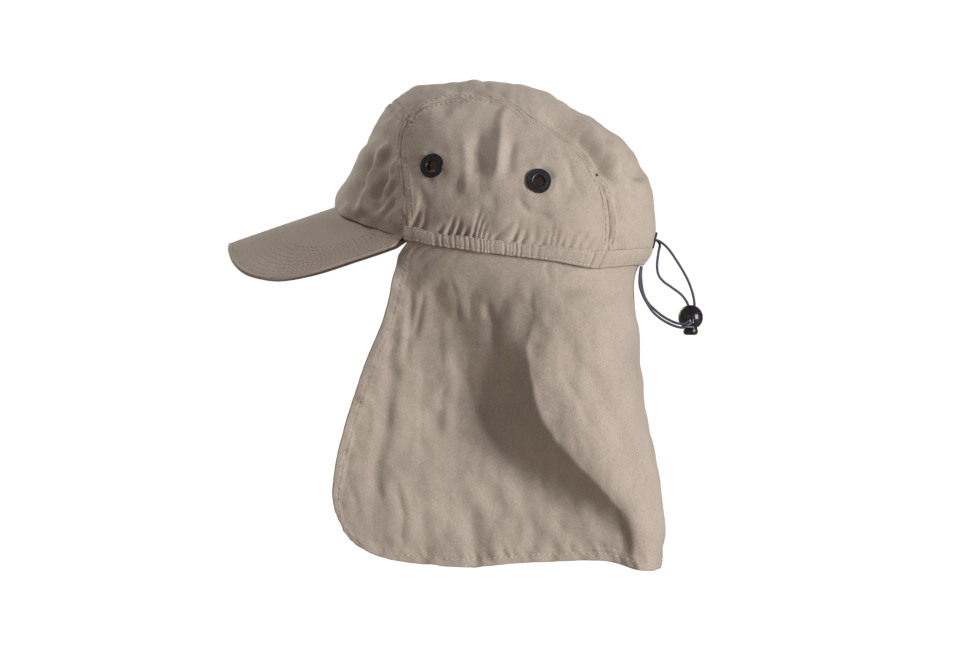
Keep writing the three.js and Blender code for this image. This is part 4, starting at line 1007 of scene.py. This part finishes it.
class CAP_OT_elastic(bpy.types.Operator):
    """Makes the two strands of the elastic cord"""

    bl_idname = "cap.elastic"
    bl_label = "Elastic cord"

    def execute(self, context):
        finish = material("elastic", elastic_material, settings().elastic_colour)
        for which, route in STRANDS.items():
            line = curve_through(route, 8)
            obj = self.tube(f"elastic_{which}", line, settings().cord_diameter / 2, finish)
            finish_piece(obj, "elastic", f"cord_{which}")
        return {"FINISHED"}

    def tube(self, name, line, radius, finish):
        """A round tube along a line, closed at both ends, with a map that runs round and along it."""
        rings = len(line)
        ways = unit(np.gradient(line, axis=0))
        across = np.cross(ways[0], (0.3, 0.9, 0.2))
        frames = []
        for way in ways:
            across = unit(across - way * across.dot(way))
            frames.append((across, np.cross(way, across)))
        bm = bmesh.new()
        bmesh.ops.create_grid(bm, x_segments=CORD_SIDES, y_segments=rings - 1, size=1.0)
        layer = bm.loops.layers.uv.new("braid")
        runs = along(line)
        uvs = {}
        for v in bm.verts:
            share, k = (v.co.x + 1) / 2, round((v.co.y + 1) / 2 * (rings - 1))
            turn = 2 * math.pi * share
            uvs[v.index] = (share, runs[k] / BRAID_LENGTH)
            v.co = line[k] + radius * (math.cos(turn) * frames[k][0] + math.sin(turn) * frames[k][1])
        for face in bm.faces:
            for loop in face.loops:
                loop[layer].uv = uvs[loop.vert.index]
        smooth_faces(bm)
        bmesh.ops.remove_doubles(bm, verts=bm.verts, dist=MERGE)
        bmesh.ops.holes_fill(bm, edges=[e for e in bm.edges if e.is_boundary], sides=CORD_SIDES)
        bmesh.ops.recalc_face_normals(bm, faces=bm.faces)
        return object_from(name, bm, finish)


def dressed_side(side):
    """The side panel's cloth: a patch between the band and the arched seam."""
    apart = 300  # keeps the puckers of the legs unlike those of the arch
    seed = SIDE_SEEDS[side]
    u, v = np.meshgrid(*(crowd(count, 0.6) for count in SIDE_GRID), indexing="ij")

    def edge(step):
        return np.stack(seam_on_crown(step), -1)

    front_foot, back_foot = edge(0), edge(STEPS)
    front_lift, back_lift = (foot[1] - panel_foot(foot[0]) for foot in (front_foot, back_foot))

    def bottom(share):
        x = mix(front_foot[0], back_foot[0], share)
        return np.stack([x, panel_foot(x) + mix(front_lift, back_lift, share)], -1)

    def top(share):
        return edge(LEG + share * ARCH)

    uu, vv = u[..., None], v[..., None]
    flat = bottom(u) * (1 - vv) + top(u) * vv + edge(v * LEG) * (1 - uu) + edge(STEPS - v * LEG) * uu
    flat -= (bottom(0) * (1 - uu) + bottom(1) * uu) * (1 - vv) + (top(0) * (1 - uu) + top(1) * uu) * vv
    points = side_skin(flat[..., 0], flat[..., 1], side)
    patch = Patch(points, np.array([0.0, side, 0.0]))
    across, up = patch.lengths(0), patch.lengths(1)
    from_leg, from_top = np.minimum(across, across[-1] - across), up[:, -1:] - up
    distance = np.minimum(from_leg, from_top)
    run = np.where(from_top < from_leg, across, up + apart)
    inset = crown_inset(points)
    depth = inset + soft_unevenness(points, seed, SIDE_UNEVENNESS) * smooth(0, CALM_BY_SEAM, distance)
    depth += seam_relief(distance, run, seed + 10)
    depth += gathers_above_band(points, points[..., 0], seed + 20) * smooth(0, 3, distance)
    for k, vent in enumerate(VENTS):
        centre = side_skin(*vent_station(side, vent), side)
        near = 1 - smooth(VENT_RADIUS, VENT_RADIUS + 4, np.linalg.norm(points - centre, axis=-1))
        depth = mix(depth, inset + 0.15, near) + eyelet_pull(points, centre, VENT_RADIUS, EYELET_SEED + k)
    patch.press(depth)
    return patch


def dressed_strip(first, last, grid, seed, unevenness):
    """A strip of cloth over the head between the two side seams, from one step of them to another."""
    cols, rows = grid
    share, t = np.meshgrid(crowd(cols, 0.5) * 2 - 1, crowd(rows, 0.6), indexing="ij")
    points = strip_skin(mix(first, last, t), share)
    patch = Patch(points, points[cols // 2, rows // 2] - np.array([0, 0, CORE_HEIGHT]))
    across, up = patch.lengths(0), patch.lengths(1)
    from_side = np.minimum(across, across[-1] - across)
    # Only the end at the cross seam is sewn. The peak or the band covers the other one.
    from_seam = up if first > 0 else up[:, -1:] - up
    meeting = smooth(0, CALM_BY_SEAM, np.minimum(from_side, from_seam))
    depth = crown_inset(points) + soft_unevenness(points, seed, unevenness) * meeting
    depth += seam_relief(from_side, up, seed + 7) + seam_relief(from_seam, across, seed + 8)
    if last == STEPS:
        depth += gathers_above_band(points, points[..., 1], seed + 9) * meeting
    patch.press(depth)
    return patch


class CAP_OT_crown(bpy.types.Operator):
    """Makes the crown's four panels and their topstitching"""

    bl_idname = "cap.crown"
    bl_label = "Crown panels"

    def execute(self, context):
        thick = settings().cloth_thickness
        front = dressed_strip(0, LEG, FRONT_GRID, FRONT_SEED, FRONT_UNEVENNESS)
        front = cloth_object("cloth_front_panel", front, khaki(), thick)
        finish_piece(front, "cloth", "front_panel")
        top = dressed_strip(LEG, STEPS, TOP_GRID, TOP_SEED, TOP_UNEVENNESS)
        top = cloth_object("cloth_top_panel", top, khaki(), thick)
        cut_round(top, cord_eyelet_place()[0], CORD_EYELET_HOLE + HOLE_MARGIN)
        finish_piece(top, "cloth", "top_panel")
        sides = []
        for side, name in ((-1, "left"), (1, "right")):
            panel = cloth_object(f"cloth_side_{name}", dressed_side(side), khaki(), thick)
            for vent in VENTS:
                cut_round(panel, vent_place(side, vent)[0], VENT_HOLE + HOLE_MARGIN)
            finish_piece(panel, "cloth", f"side_panel_{name}")
            sides.append(panel)
        self.topstitch(front, top, sides)
        return {"FINISHED"}

    def topstitch(self, front, top, sides):
        """Two rows along each side seam, and one on each side of the cross seam."""
        rows = []
        x, z = seam_on_crown(np.linspace(0.15, STEPS - 0.9, 420))
        for side in (-1, 1):
            line = side_skin(x, z, side)
            off = unit(np.cross(np.gradient(line, axis=0), self.skin_normal(x, z, side)))
            rows += [(line + off * distance) * MM for distance in (-SEAM_STITCH, SEAM_STITCH)]
        shares = np.linspace(-0.96, 0.96, 200)
        rows += [strip_skin(step, shares) * MM for step in (LEG - 0.36, LEG + 0.46)]
        stitching("topstitch_crown", rows, surface_of(front, top, *sides), seam_thread())

    def skin_normal(self, x, z, side):
        step = 0.5
        along_x = side_skin(x + step, z, side) - side_skin(x - step, z, side)
        along_z = side_skin(x, z + step, side) - side_skin(x, z - step, side)
        return unit(np.cross(along_x, along_z))


def cut_round(obj, centre, radius):
    """Opens a round hole in a cloth piece. The centre and radius are in millimetres."""
    bm = bmesh.new()
    bm.from_mesh(obj.data)
    at = Vector(centre) * MM
    gone = [f for f in bm.faces if (f.calc_center_median() - at).length < radius * MM]
    bmesh.ops.delete(bm, geom=gone, context="FACES")
    bm.to_mesh(obj.data)
    bm.free()


def seat_on(cloth, a, b, reach_a, reach_b):
    """Middle and direction of an eyelet on the cloth under its rim."""
    a0, a1 = cloth(a - reach_a, b), cloth(a + reach_a, b)
    b0, b1 = cloth(a, b - reach_b), cloth(a, b + reach_b)
    return mix((a0 + a1 + b0 + b1) / 4, cloth(a, b), 0.5), unit(np.cross(a1 - a0, b1 - b0))


def inset_point(point, normal):
    """A point of the skin moved in to where the crown's cloth is."""
    return point - normal * float(crown_inset(point[None])[0])


def vent_station(side, name):
    """x, z of a vent eyelet."""
    x, z = VENTS[name]
    shift = RIGHT_VENT_SHIFT if side > 0 else 0
    return float(station_of(x, CROWN_FRONT, CROWN_BACK)) - shift, z * CROWN_HEIGHT


def vent_place(side, name):
    """Middle and outward direction of a vent eyelet."""
    small = 0.05

    def cloth(px, pz):
        slope_x, slope_z = (
            (side_skin(px + dx, pz + dz, side) - side_skin(px - dx, pz - dz, side))[1] / (2 * small) * side
            for dx, dz in ((small, 0), (0, small))
        )
        return inset_point(side_skin(px, pz, side), unit(np.array([-slope_x, side, -slope_z])))

    point, normal = seat_on(cloth, *vent_station(side, name), VENT_RADIUS, VENT_RADIUS)
    return point, normal if normal[1] * side > 0 else -normal


def cord_eyelet_place():
    """Middle and outward direction of the cord eyelet, at the centre back."""
    small = 1e-3
    girth = math.pi + (CORE_HEIGHT - CORD_EYELET_HEIGHT) / GIRTH_DROP

    def cloth(g, a):
        along_girth = crown_skin(g + small, a) - crown_skin(g - small, a)
        along_across = crown_skin(g, a + small) - crown_skin(g, a - small)
        n = unit(np.cross(along_girth, along_across))
        return inset_point(crown_skin(g, a), n if n[0] > 0 else -n)

    reaches = CORD_EYELET_RADIUS / GIRTH_DROP, CORD_EYELET_RADIUS / CROWN_HALF_WIDTH
    point, normal = seat_on(cloth, girth, 0.0, *reaches)
    return point, normal if normal[0] > 0 else -normal


class CAP_OT_band(bpy.types.Operator):
    """Makes the gathered band round the rim, with its stitching"""

    bl_idname = "cap.band"
    bl_label = "Band"

    def execute(self, context):
        patch = self.patch()
        band = cloth_object("cloth_band", patch, khaki(), (BAND_THICKNESS - 0.3) * MM)
        finish_piece(band, "band_cloth", "band")
        rows = [patch.points[:, row] * MM for row in BAND_STITCH_ROWS]
        stitching("topstitch_band", rows, surface_of(band), khaki_thread(), BAND_STITCH)
        return {"FINISHED"}

    def patch(self):
        """The band's cloth. v runs from its lower to its upper edge."""
        cols, rows = BAND_GRID
        end = seam_point(0)[0] + BAND_BEHIND_SEAM
        start = float(wall_angle(end, panel_foot(end)))
        angle, v = np.meshgrid(np.linspace(-start, start, cols), np.linspace(0, 1, rows), indexing="ij")
        x = wall_skin(angle, np.full(angle.shape, float(panel_foot(0))))[..., 0]
        low, high = band_heights(x)
        points = wall_skin(angle, mix(low, high, v))
        patch = Patch(points, points - np.array([0, 0, 5.0]))
        arc = patch.lengths(0)
        arc = arc[:, rows // 2][:, None] + 0 * arc
        strength = 0.3 + 0.7 * smooth(85, 150, np.abs(arc - arc[-1] / 2))
        strength = strength * smooth(0, 6, np.minimum(arc, arc[-1] - arc))
        wander = 1.1 * Noise(BAND_SEED)(arc / 8, 0.15 * v)
        lane = arc / (settings().gather_pitch / MM) + wander + 0.1 * (v - 0.5)
        fold = 1 - np.abs(np.sin(np.pi * lane)) ** 0.6
        depth = settings().gather_depth / MM * strength * (0.6 + 0.7 * Noise(BAND_SEED + 2)(arc / 4.5, 0.4 * v))
        bulge = 0.5 * np.sin(np.pi * v) ** 0.6
        stitched = 0.35 * swell(v, 0.85, 0.06) + 0.3 * swell(v, 0.15, 0.06)
        joins = sum(0.9 * swell(x, at, 0.7) for at in BAND_JOINS)
        uneven = 0.12 * Noise(BAND_SEED + 3)(arc / 13, v)
        patch.press(BAND_LYING - BAND_PROUD + depth * fold - bulge + stitched + joins + uneven)
        edge_waves = Noise(BAND_SEED + 4)(arc / 2.4, 0 * v) * np.abs(2 * v - 1) ** 3
        patch.points[..., 2] += 0.45 * strength * edge_waves
        return patch


def peak_frame():
    """The peak's inner and outer edge, as functions of the share from -1 to 1 across it."""
    edge = smooth_rows([(k / (len(PEAK_EDGE) - 1), *row) for k, row in enumerate(PEAK_EDGE)])
    half_width = abs(strip_skin(0.0, 1.0)[1]) + PEAK_FLARE

    def inner(side):
        point = strip_skin(0.0, side)
        n = unit(np.stack([point[..., 0] / CROWN_FRONT**2, point[..., 1] / CROWN_HALF_WIDTH**2], -1))
        at_corner = np.abs(side[..., None]) ** 6
        drop = mix(2 * GAP, -4 * GAP, at_corner)
        return point - np.concatenate([n * mix(PEAK_TUCK, PEAK_CORNER_TUCK, at_corner), drop], -1)

    def outer(side):
        row = edge(np.abs(side))
        return np.stack([
            -CROWN_FRONT - row[..., 1] * PEAK_LENGTH,
            np.sign(side) * row[..., 0] * half_width,
            PEAK_SEAM_HEIGHT - row[..., 2] * PEAK_DROP,
        ], -1)

    return inner, outer


class CAP_OT_peak(bpy.types.Operator):
    """Makes the stiffened peak with its bound edge and rows of stitches"""

    bl_idname = "cap.peak"
    bl_label = "Peak"

    def execute(self, context):
        inner, outer = peak_frame()
        up = np.array([0, 0, 1.0])
        side, t = (np.linspace(low, 1, count) for low, count in zip((-1, 0), PEAK_GRID))
        a, b = inner(side)[:, None, :], outer(side)[:, None, :]
        sheet = a + (b - a) * t[None, :, None]
        patch = Patch(sheet, up)
        n, run = patch.normals, patch.lengths(1)
        to_edge = run[:, -1:] - run
        relief = 0.25 * swell(to_edge, PEAK_BINDING, 0.7)
        relief += 0.1 * Noise(PEAK_SEED)(sheet[..., 0] / 22, sheet[..., 1] / 22)
        relief += sum(0.05 * swell(to_edge, d, 0.6) for d in PEAK_ROWS)
        upper = sheet - n * relief[..., None]
        lower = sheet - n * (PEAK_THICKNESS - relief[..., None] * 0.5)
        way, half = unit(b[:, 0] - a[:, 0]), PEAK_THICKNESS / 2
        edge_mid = sheet[:, -1] - n[:, -1] * half
        turns = np.linspace(math.pi / 2, -math.pi / 2, PEAK_RIM_STEPS + 2)[1:-1]
        rim = [edge_mid + way * (math.cos(s) * 0.9) + n[:, -1] * (math.sin(s) * half) for s in turns]
        shell = Patch(np.concatenate([upper, np.stack(rim, 1), lower[:, ::-1]], 1), up)
        obj = self.closed_object(shell)
        finish_piece(obj, "cloth", "peak")
        lines = [self.row(upper, to_edge, d) for d in (PEAK_BINDING, *PEAK_ROWS)]
        stitching("topstitch_peak", [line for line in lines if len(line) > 3], surface_of(obj),
                  peak_thread(), PEAK_STITCH, PEAK_THREAD_WIDTH)
        return {"FINISHED"}

    def row(self, points, to_edge, distance):
        """A row of stitches at a distance from the edge, where the peak is long enough for it."""
        clear = 3
        picked = [
            [np.interp(-distance, -gone, line[:, a]) for a in range(3)]
            for line, gone in zip(points[4:-4], to_edge[4:-4]) if distance <= gone[0] - clear
        ]
        return np.array(picked) * MM

    def closed_object(self, shell):
        """The peak's cloth, with the grid's open sides closed."""
        obj = cloth_object("cloth_peak", shell, peak_cloth(), 0)
        bm = bmesh.new()
        bm.from_mesh(obj.data)
        bmesh.ops.remove_doubles(bm, verts=bm.verts, dist=MERGE)
        bmesh.ops.holes_fill(bm, edges=[e for e in bm.edges if e.is_boundary], sides=0)
        smooth_faces(bm)
        bmesh.ops.recalc_face_normals(bm, faces=bm.faces)
        bm.to_mesh(obj.data)
        bm.free()
        return obj


def flap_station(w, row):
    """x of the flap's cloth at a share w of the way from its front edge to the middle of its back."""
    hem_share, turn, shoulder_reach = 0.05, 0.58, 0.75
    front, back = row[..., 0] * FLAP_FRONT, row[..., 3] * FLAP_BACK
    shoulder = back - shoulder_reach * FLAP_HALF_WIDTH
    run = np.clip((w - hem_share) / (1 - hem_share), 0, 1)
    bend = shoulder + (back - shoulder) * np.sin(np.clip((run - turn) / (1 - turn), 0, 1) * (np.pi / 2))
    plain = mix(front + HEM_WIDTH, shoulder, run / turn)
    return np.where(w <= hem_share, front + HEM_WIDTH * w / hem_share, np.where(run <= turn, plain, bend))


def flap_out(x, row):
    """How far out the flap stands at x, as a share of its half width: valley, ridge and round back."""
    front, back = row[..., 0] * FLAP_FRONT, row[..., 3] * FLAP_BACK
    valley, ridge = (station_of(row[..., k], FLAP_FRONT, FLAP_BACK) for k in (1, 2))
    edge_out, valley_out, ridge_out = row[..., 4], row[..., 5], row[..., 6]
    share = np.clip((x - front) / (valley - front), 0, 1)
    ahead = mix(edge_out, valley_out, mix(share, ease(share), 0.6))
    t = np.clip((x - valley) / (ridge - valley), 0, 1)
    steepness = mix(1.7, 4.0, smooth(0.35, 0.75, row[..., 2]))
    rising = mix(valley_out, ridge_out, mix(ease(t), t**steepness, 0.75))
    behind = np.clip((x - ridge) / (back - ridge), 0, 1)
    round_back = ridge_out * (1 - behind**PLAN_POWER) ** (1 / SIDE_POWER)
    return np.where(x < valley, ahead, np.where(x < ridge, rising, round_back))


def flap_points(u, v):
    """The flap's cloth: u runs round it from one front edge to the other, v from the band down to the hem."""
    notch_depth, notch_drop, notch_width = 0.024, 0.045, 0.032
    tuck_end, hang_start = 0.035, 0.17
    w = 1 - np.abs(2 * u - 1)
    side = np.where(u < 0.5, -1.0, 1.0)
    first = flap_rows(np.zeros(np.shape(w)))
    top_x = flap_station(w, first)
    top_z = panel_foot(top_x) - FLAP_UNDER_PANELS
    foot = flap_station(w, flap_rows(np.ones(np.shape(w))))
    hem_z = -FLAP_DROP * flap_hem(share_of(foot, FLAP_FRONT, FLAP_BACK))[..., 0]
    z = mix(top_z, hem_z, v)
    t = (top_z - z) / (top_z - hem_z)
    row = flap_rows(t)
    row[..., 0] -= notch_depth * swell(t, notch_drop, notch_width)
    x = flap_station(w, row)
    pressed, creased = (
        furrow_depth(paths, x, z, FLAP_FRONT, FLAP_BACK, FLAP_DROP)
        for paths in (FLAP_FURROWS, FLAP_CREASES)
    )
    pressed = pressed + creased * settings().crease_strength
    out = flap_out(x, row) * FLAP_HALF_WIDTH - pressed * (1 - smooth(0.8, 1, w))
    hanging = np.stack([x, side * np.maximum(0, out), z], -1)
    reach = CROWN_BACK * lower_wall((CORE_HEIGHT - top_z) / CORE_HEIGHT)[..., 1]
    on_wall = np.where(x > 0, x * reach / (row[..., 3] * FLAP_BACK), x)
    tucked = wall_skin(np.maximum(1e-6, wall_angle(on_wall, top_z)) * side, z)
    outward = unit(tucked * np.array([1.0, 1.0, 0.0]))
    tucked = tucked - outward * (BAND_THICKNESS - BAND_PROUD + GAP + FLAP_EASE)
    return mix(tucked, hanging, smooth(tuck_end, hang_start, t)[..., None])


class CAP_OT_flap(bpy.types.Operator):
    """Makes the neck flap with its folds and its turned, stitched hem"""

    bl_idname = "cap.flap"
    bl_label = "Neck flap"

    def execute(self, context):
        patch = self.patch()
        flap = cloth_object("cloth_flap", patch, khaki(), settings().cloth_thickness)
        finish_piece(flap, "cloth", "neck_flap")
        across, down = patch.lengths(0), patch.lengths(1)
        area = self.area(patch.points)
        front_rows = [self.front_row(patch, across, end, HEM_WIDTH - HEM_STITCH_IN) for end in (0, -1)]
        hem_row = self.hem_row(patch, down, HEM_WIDTH - LOWER_STITCH_IN)
        stitching("topstitch_flap", [*front_rows, hem_row], surface_of(flap), khaki_thread(), FLAP_STITCH)
        return {"FINISHED"}

    def area(self, p):
        """Area of the cloth in square metres."""
        a = np.linalg.norm(np.cross(p[1:, :-1] - p[:-1, :-1], p[:-1, 1:] - p[:-1, :-1]), axis=-1)
        return float(a.sum()) * MM**2

    def front_row(self, patch, across, end, distance):
        """A row of stitches at a distance from one front edge: end is 0 or -1."""
        runs = across if end == 0 else across[-1] - across
        order = slice(None) if end == 0 else slice(None, None, -1)
        rows = range(8, patch.points.shape[1] - 6)
        picked = [[np.interp(distance, runs[order, j], patch.points[order, j, a]) for a in range(3)] for j in rows]
        return np.array(picked) * MM

    def hem_row(self, patch, down, distance):
        """A row of stitches at a distance from the lower edge."""
        left = down[:, -1:] - down
        cols = range(6, patch.points.shape[0] - 6)
        picked = [[np.interp(-distance, -left[i], patch.points[i, :, a]) for a in range(3)] for i in cols]
        return np.array(picked) * MM

    def patch(self):
        """The flap's cloth, with its turned hem, the hem's puckers and the gathers under the band."""
        cols, rows = FLAP_GRID
        body = np.linspace(0, FLAP_HEM_FROM, rows - FLAP_HEM_STEPS)
        v = np.concatenate([body, np.linspace(FLAP_HEM_FROM, 1, FLAP_HEM_STEPS + 1)[1:]])
        u, v = np.meshgrid(np.linspace(0, 1, cols), v, indexing="ij")
        points = flap_points(u, v)
        patch = Patch(points, points * np.array([1.0, 1.0, 0.0]))
        across, down = patch.lengths(0), patch.lengths(1)
        from_front = np.minimum(across, across[-1] - across)
        from_hem = down[:, -1:] - down
        distance = np.minimum(from_front, from_hem)
        run = np.where(from_front < from_hem, down, across)
        below_band = smooth(0, 25, down)
        hem = smooth(HEM_WIDTH + 1.6, HEM_WIDTH + 0.6, distance)
        pucker = Noise(FLAP_SEED)(run / 2.6, distance / 8) * swell(distance, HEM_WIDTH, 5)
        stitched = 0.5 * swell(distance, HEM_WIDTH - HEM_STITCH_IN, 0.9)
        depth = (-HEM_RELIEF * hem + 0.75 * pucker + stitched) * below_band
        depth += soft_unevenness(points, FLAP_SEED + 10) * smooth(2, 30, down)
        depth += 0.9 * self.gathers(across, down) * smooth(3, 8, down)
        patch.press(depth)
        return patch

    def gathers(self, arc, down):
        """Where the band gathers the flap: short upright waves, from 0 to 1, that fade downwards."""
        lane = (arc + 0.5 * down) / 9.0 + 1.2 * Noise(FLAP_SEED + 20)(arc / 19, down / 24)
        reach = 15 + 12 * Noise(FLAP_SEED + 21)(arc / 8, 0 * down)
        strength = np.clip(0.3 + 0.9 * Noise(FLAP_SEED + 22)(arc / 16, 0 * down), 0, 1)
        return crest(lane) ** 1.4 * (1 - smooth(0, 1, (down - 6) / reach)) * strength


class CAP_OT_eyelets(bpy.types.Operator):
    """Makes the rolled eyelets of the side panels and of the cord"""

    bl_idname = "cap.eyelets"
    bl_label = "Eyelets"

    def execute(self, context):
        finish = material("black_enamel", enamel_material, settings().eyelet_colour)
        for side, name in ((-1, "left"), (1, "right")):
            for vent in VENTS:
                size = (VENT_RADIUS, VENT_HOLE, VENT_RIM)
                obj = self.ring(f"ring_{name}_{vent}", vent_place(side, vent), size, finish)
                finish_piece(obj, "eyelet", f"vent_eyelet_{name}_{vent}")
        size = (CORD_EYELET_RADIUS, CORD_EYELET_HOLE, CORD_EYELET_RIM)
        obj = self.ring("ring_cord", cord_eyelet_place(), size, finish)
        finish_piece(obj, "eyelet", "cord_eyelet")
        return {"FINISHED"}

    def ring(self, name, place, size, finish):
        """A rolled rim over the cloth, a barrel through it and a washer behind."""
        (point, normal), (radius, hole, height) = place, size
        seat, back = 0.15, -2.0
        barrel, washer = hole + 0.6, radius * 0.85
        roll = (radius - hole) / 2
        turns = np.linspace(0, math.pi, 17)
        rise = height * (1 + 0.5 * swell(turns, 0.45, 0.3) - 0.3 * swell(turns, 1.5, 0.6)) * np.sin(turns)
        rim = [(radius - roll + roll * math.cos(s), seat + float(h)) for s, h in zip(turns, rise)]
        behind = [(hole, back), (barrel, back - 0.3), (washer, back - 0.2), (washer, back + 0.3),
                  (barrel, back + 0.4), (barrel, seat)]
        turn = Vector((0, 0, 1)).rotation_difference(Vector(normal)).to_matrix().to_4x4()
        at = Matrix.Translation(Vector(point)) @ turn
        return turned(name, rim + behind, RING_STEPS, at, finish, closed=True)


class CAP_OT_lock(bpy.types.Operator):
    """Makes the cord lock's ball and push-in plunger"""

    bl_idname = "cap.lock"
    bl_label = "Cord lock"

    def execute(self, context):
        finish = material("black_plastic", enamel_material, settings().lock_colour, 0.24)
        at = Matrix.Translation(BALL)
        ball = turned("lock_ball_moulded", self.ball_profile(), LOCK_STEPS, at, finish)
        self.slot_through(ball, CORD_DIAMETER + CORD_PLAY, -CHANNEL_DROP)
        finish_piece(ball, "lock_plastic", "lock_ball")
        plunger = turned("lock_plunger_moulded", self.plunger_profile(), LOCK_STEPS, at, finish)
        self.slot_through(plunger, CHANNEL_HEIGHT + PLUNGER_TRAVEL, -CHANNEL_DROP - PLUNGER_TRAVEL / 2)
        finish_piece(plunger, "lock_plastic", "lock_plunger", body="plunger")
        return {"FINISHED"}

    def ball_profile(self):
        """The ball with its moulding line and, from below, the bore for the plunger."""
        bore = PLUNGER_RADIUS + PLUNGER_CLEARANCE
        top = PLUNGER_TRAVEL + 2 * PLUNGER_CLEARANCE
        turns = np.linspace(0, math.pi - math.asin(bore / BALL_RADIUS) - 0.04, 30)
        radii = BALL_RADIUS - 0.12 * swell(turns, math.pi / 2, 0.03)
        outer = list(zip(radii * np.sin(turns), radii * np.cos(turns)))
        foot = -math.sqrt(BALL_RADIUS**2 - bore**2)
        mouth = [(bore + 0.1, foot + 0.02), (bore, foot + 0.25)]
        return [*outer, *mouth, (bore, top - 0.4), (bore - 0.4, top), (0, top)]

    def plunger_profile(self):
        """The plunger with a dished, rounded foot. Each row is a share of its radius and a height."""
        foot = -PLUNGER_REACH
        rows = [(0, foot + 0.3), (0.4, foot + 0.1), (0.62, foot), (0.8, foot + 0.3), (0.94, foot + 1.0),
                (1, foot + 2.0), (0.98, foot + 2.9), (0.92, foot + 3.6), (0.92, -0.5), (0.84, 0), (0, 0)]
        return [(PLUNGER_RADIUS * share, height) for share, height in rows]

    def slot_through(self, obj, height, drop):
        """Cuts the strands' channel across a piece, at a drop below the ball's middle."""
        bm = bmesh.new()
        bmesh.ops.create_cube(bm, size=1)
        size = Matrix.Diagonal((CHANNEL_WIDTH, 4 * BALL_RADIUS, height, 1))
        place = Matrix.Translation(BALL + Vector((0, 0, drop)))
        bmesh.ops.transform(bm, verts=bm.verts, matrix=Matrix.Scale(MM, 4) @ place @ size)
        cutter = object_from("cutter", bm, obj.data.materials[0])
        cut = obj.modifiers.new("slot", "BOOLEAN")
        cut.operation = "DIFFERENCE"
        cut.solver = "EXACT"
        cut.object = cutter
        bpy.context.view_layer.update()
        made = bpy.data.meshes.new_from_object(obj.evaluated_get(bpy.context.evaluated_depsgraph_get()))
        obj.modifiers.clear()
        obj.data = made
        bpy.data.objects.remove(cutter)
        if not len(made.polygons):
            raise RuntimeError(f"{obj.name} was lost when its slot was cut")


class CAP_PT_panel(bpy.types.Panel):
    """Lists the cap's pieces in the order in which they are made"""

    bl_label = "Legionnaire cap"
    bl_space_type = "VIEW_3D"
    bl_region_type = "UI"
    bl_category = "Cap"

    def draw(self, context):
        for operator in OPERATORS:
            self.layout.operator(operator.bl_idname)
        for name in CapSettings.__annotations__:
            self.layout.prop(context.scene.cap_settings, name)


OPERATORS = (
    CAP_OT_stage, CAP_OT_lock, CAP_OT_elastic, CAP_OT_crown, CAP_OT_band, CAP_OT_peak, CAP_OT_flap, CAP_OT_eyelets,
)


def register():
    for cls in (CapSettings, *OPERATORS, CAP_PT_panel):
        bpy.utils.register_class(cls)
    bpy.types.Scene.cap_settings = PointerProperty(type=CapSettings)


def unregister():
    del bpy.types.Scene.cap_settings
    for cls in (CAP_PT_panel, *reversed(OPERATORS), CapSettings):
        bpy.utils.unregister_class(cls)


def main():
    register()
    bpy.ops.cap.stage()
    bpy.ops.cap.lock()
    bpy.ops.cap.elastic()
    bpy.ops.cap.crown()
    bpy.ops.cap.band()
    bpy.ops.cap.peak()
    bpy.ops.cap.flap()
    bpy.ops.cap.eyelets()


if __name__ == "__main__":
    main()
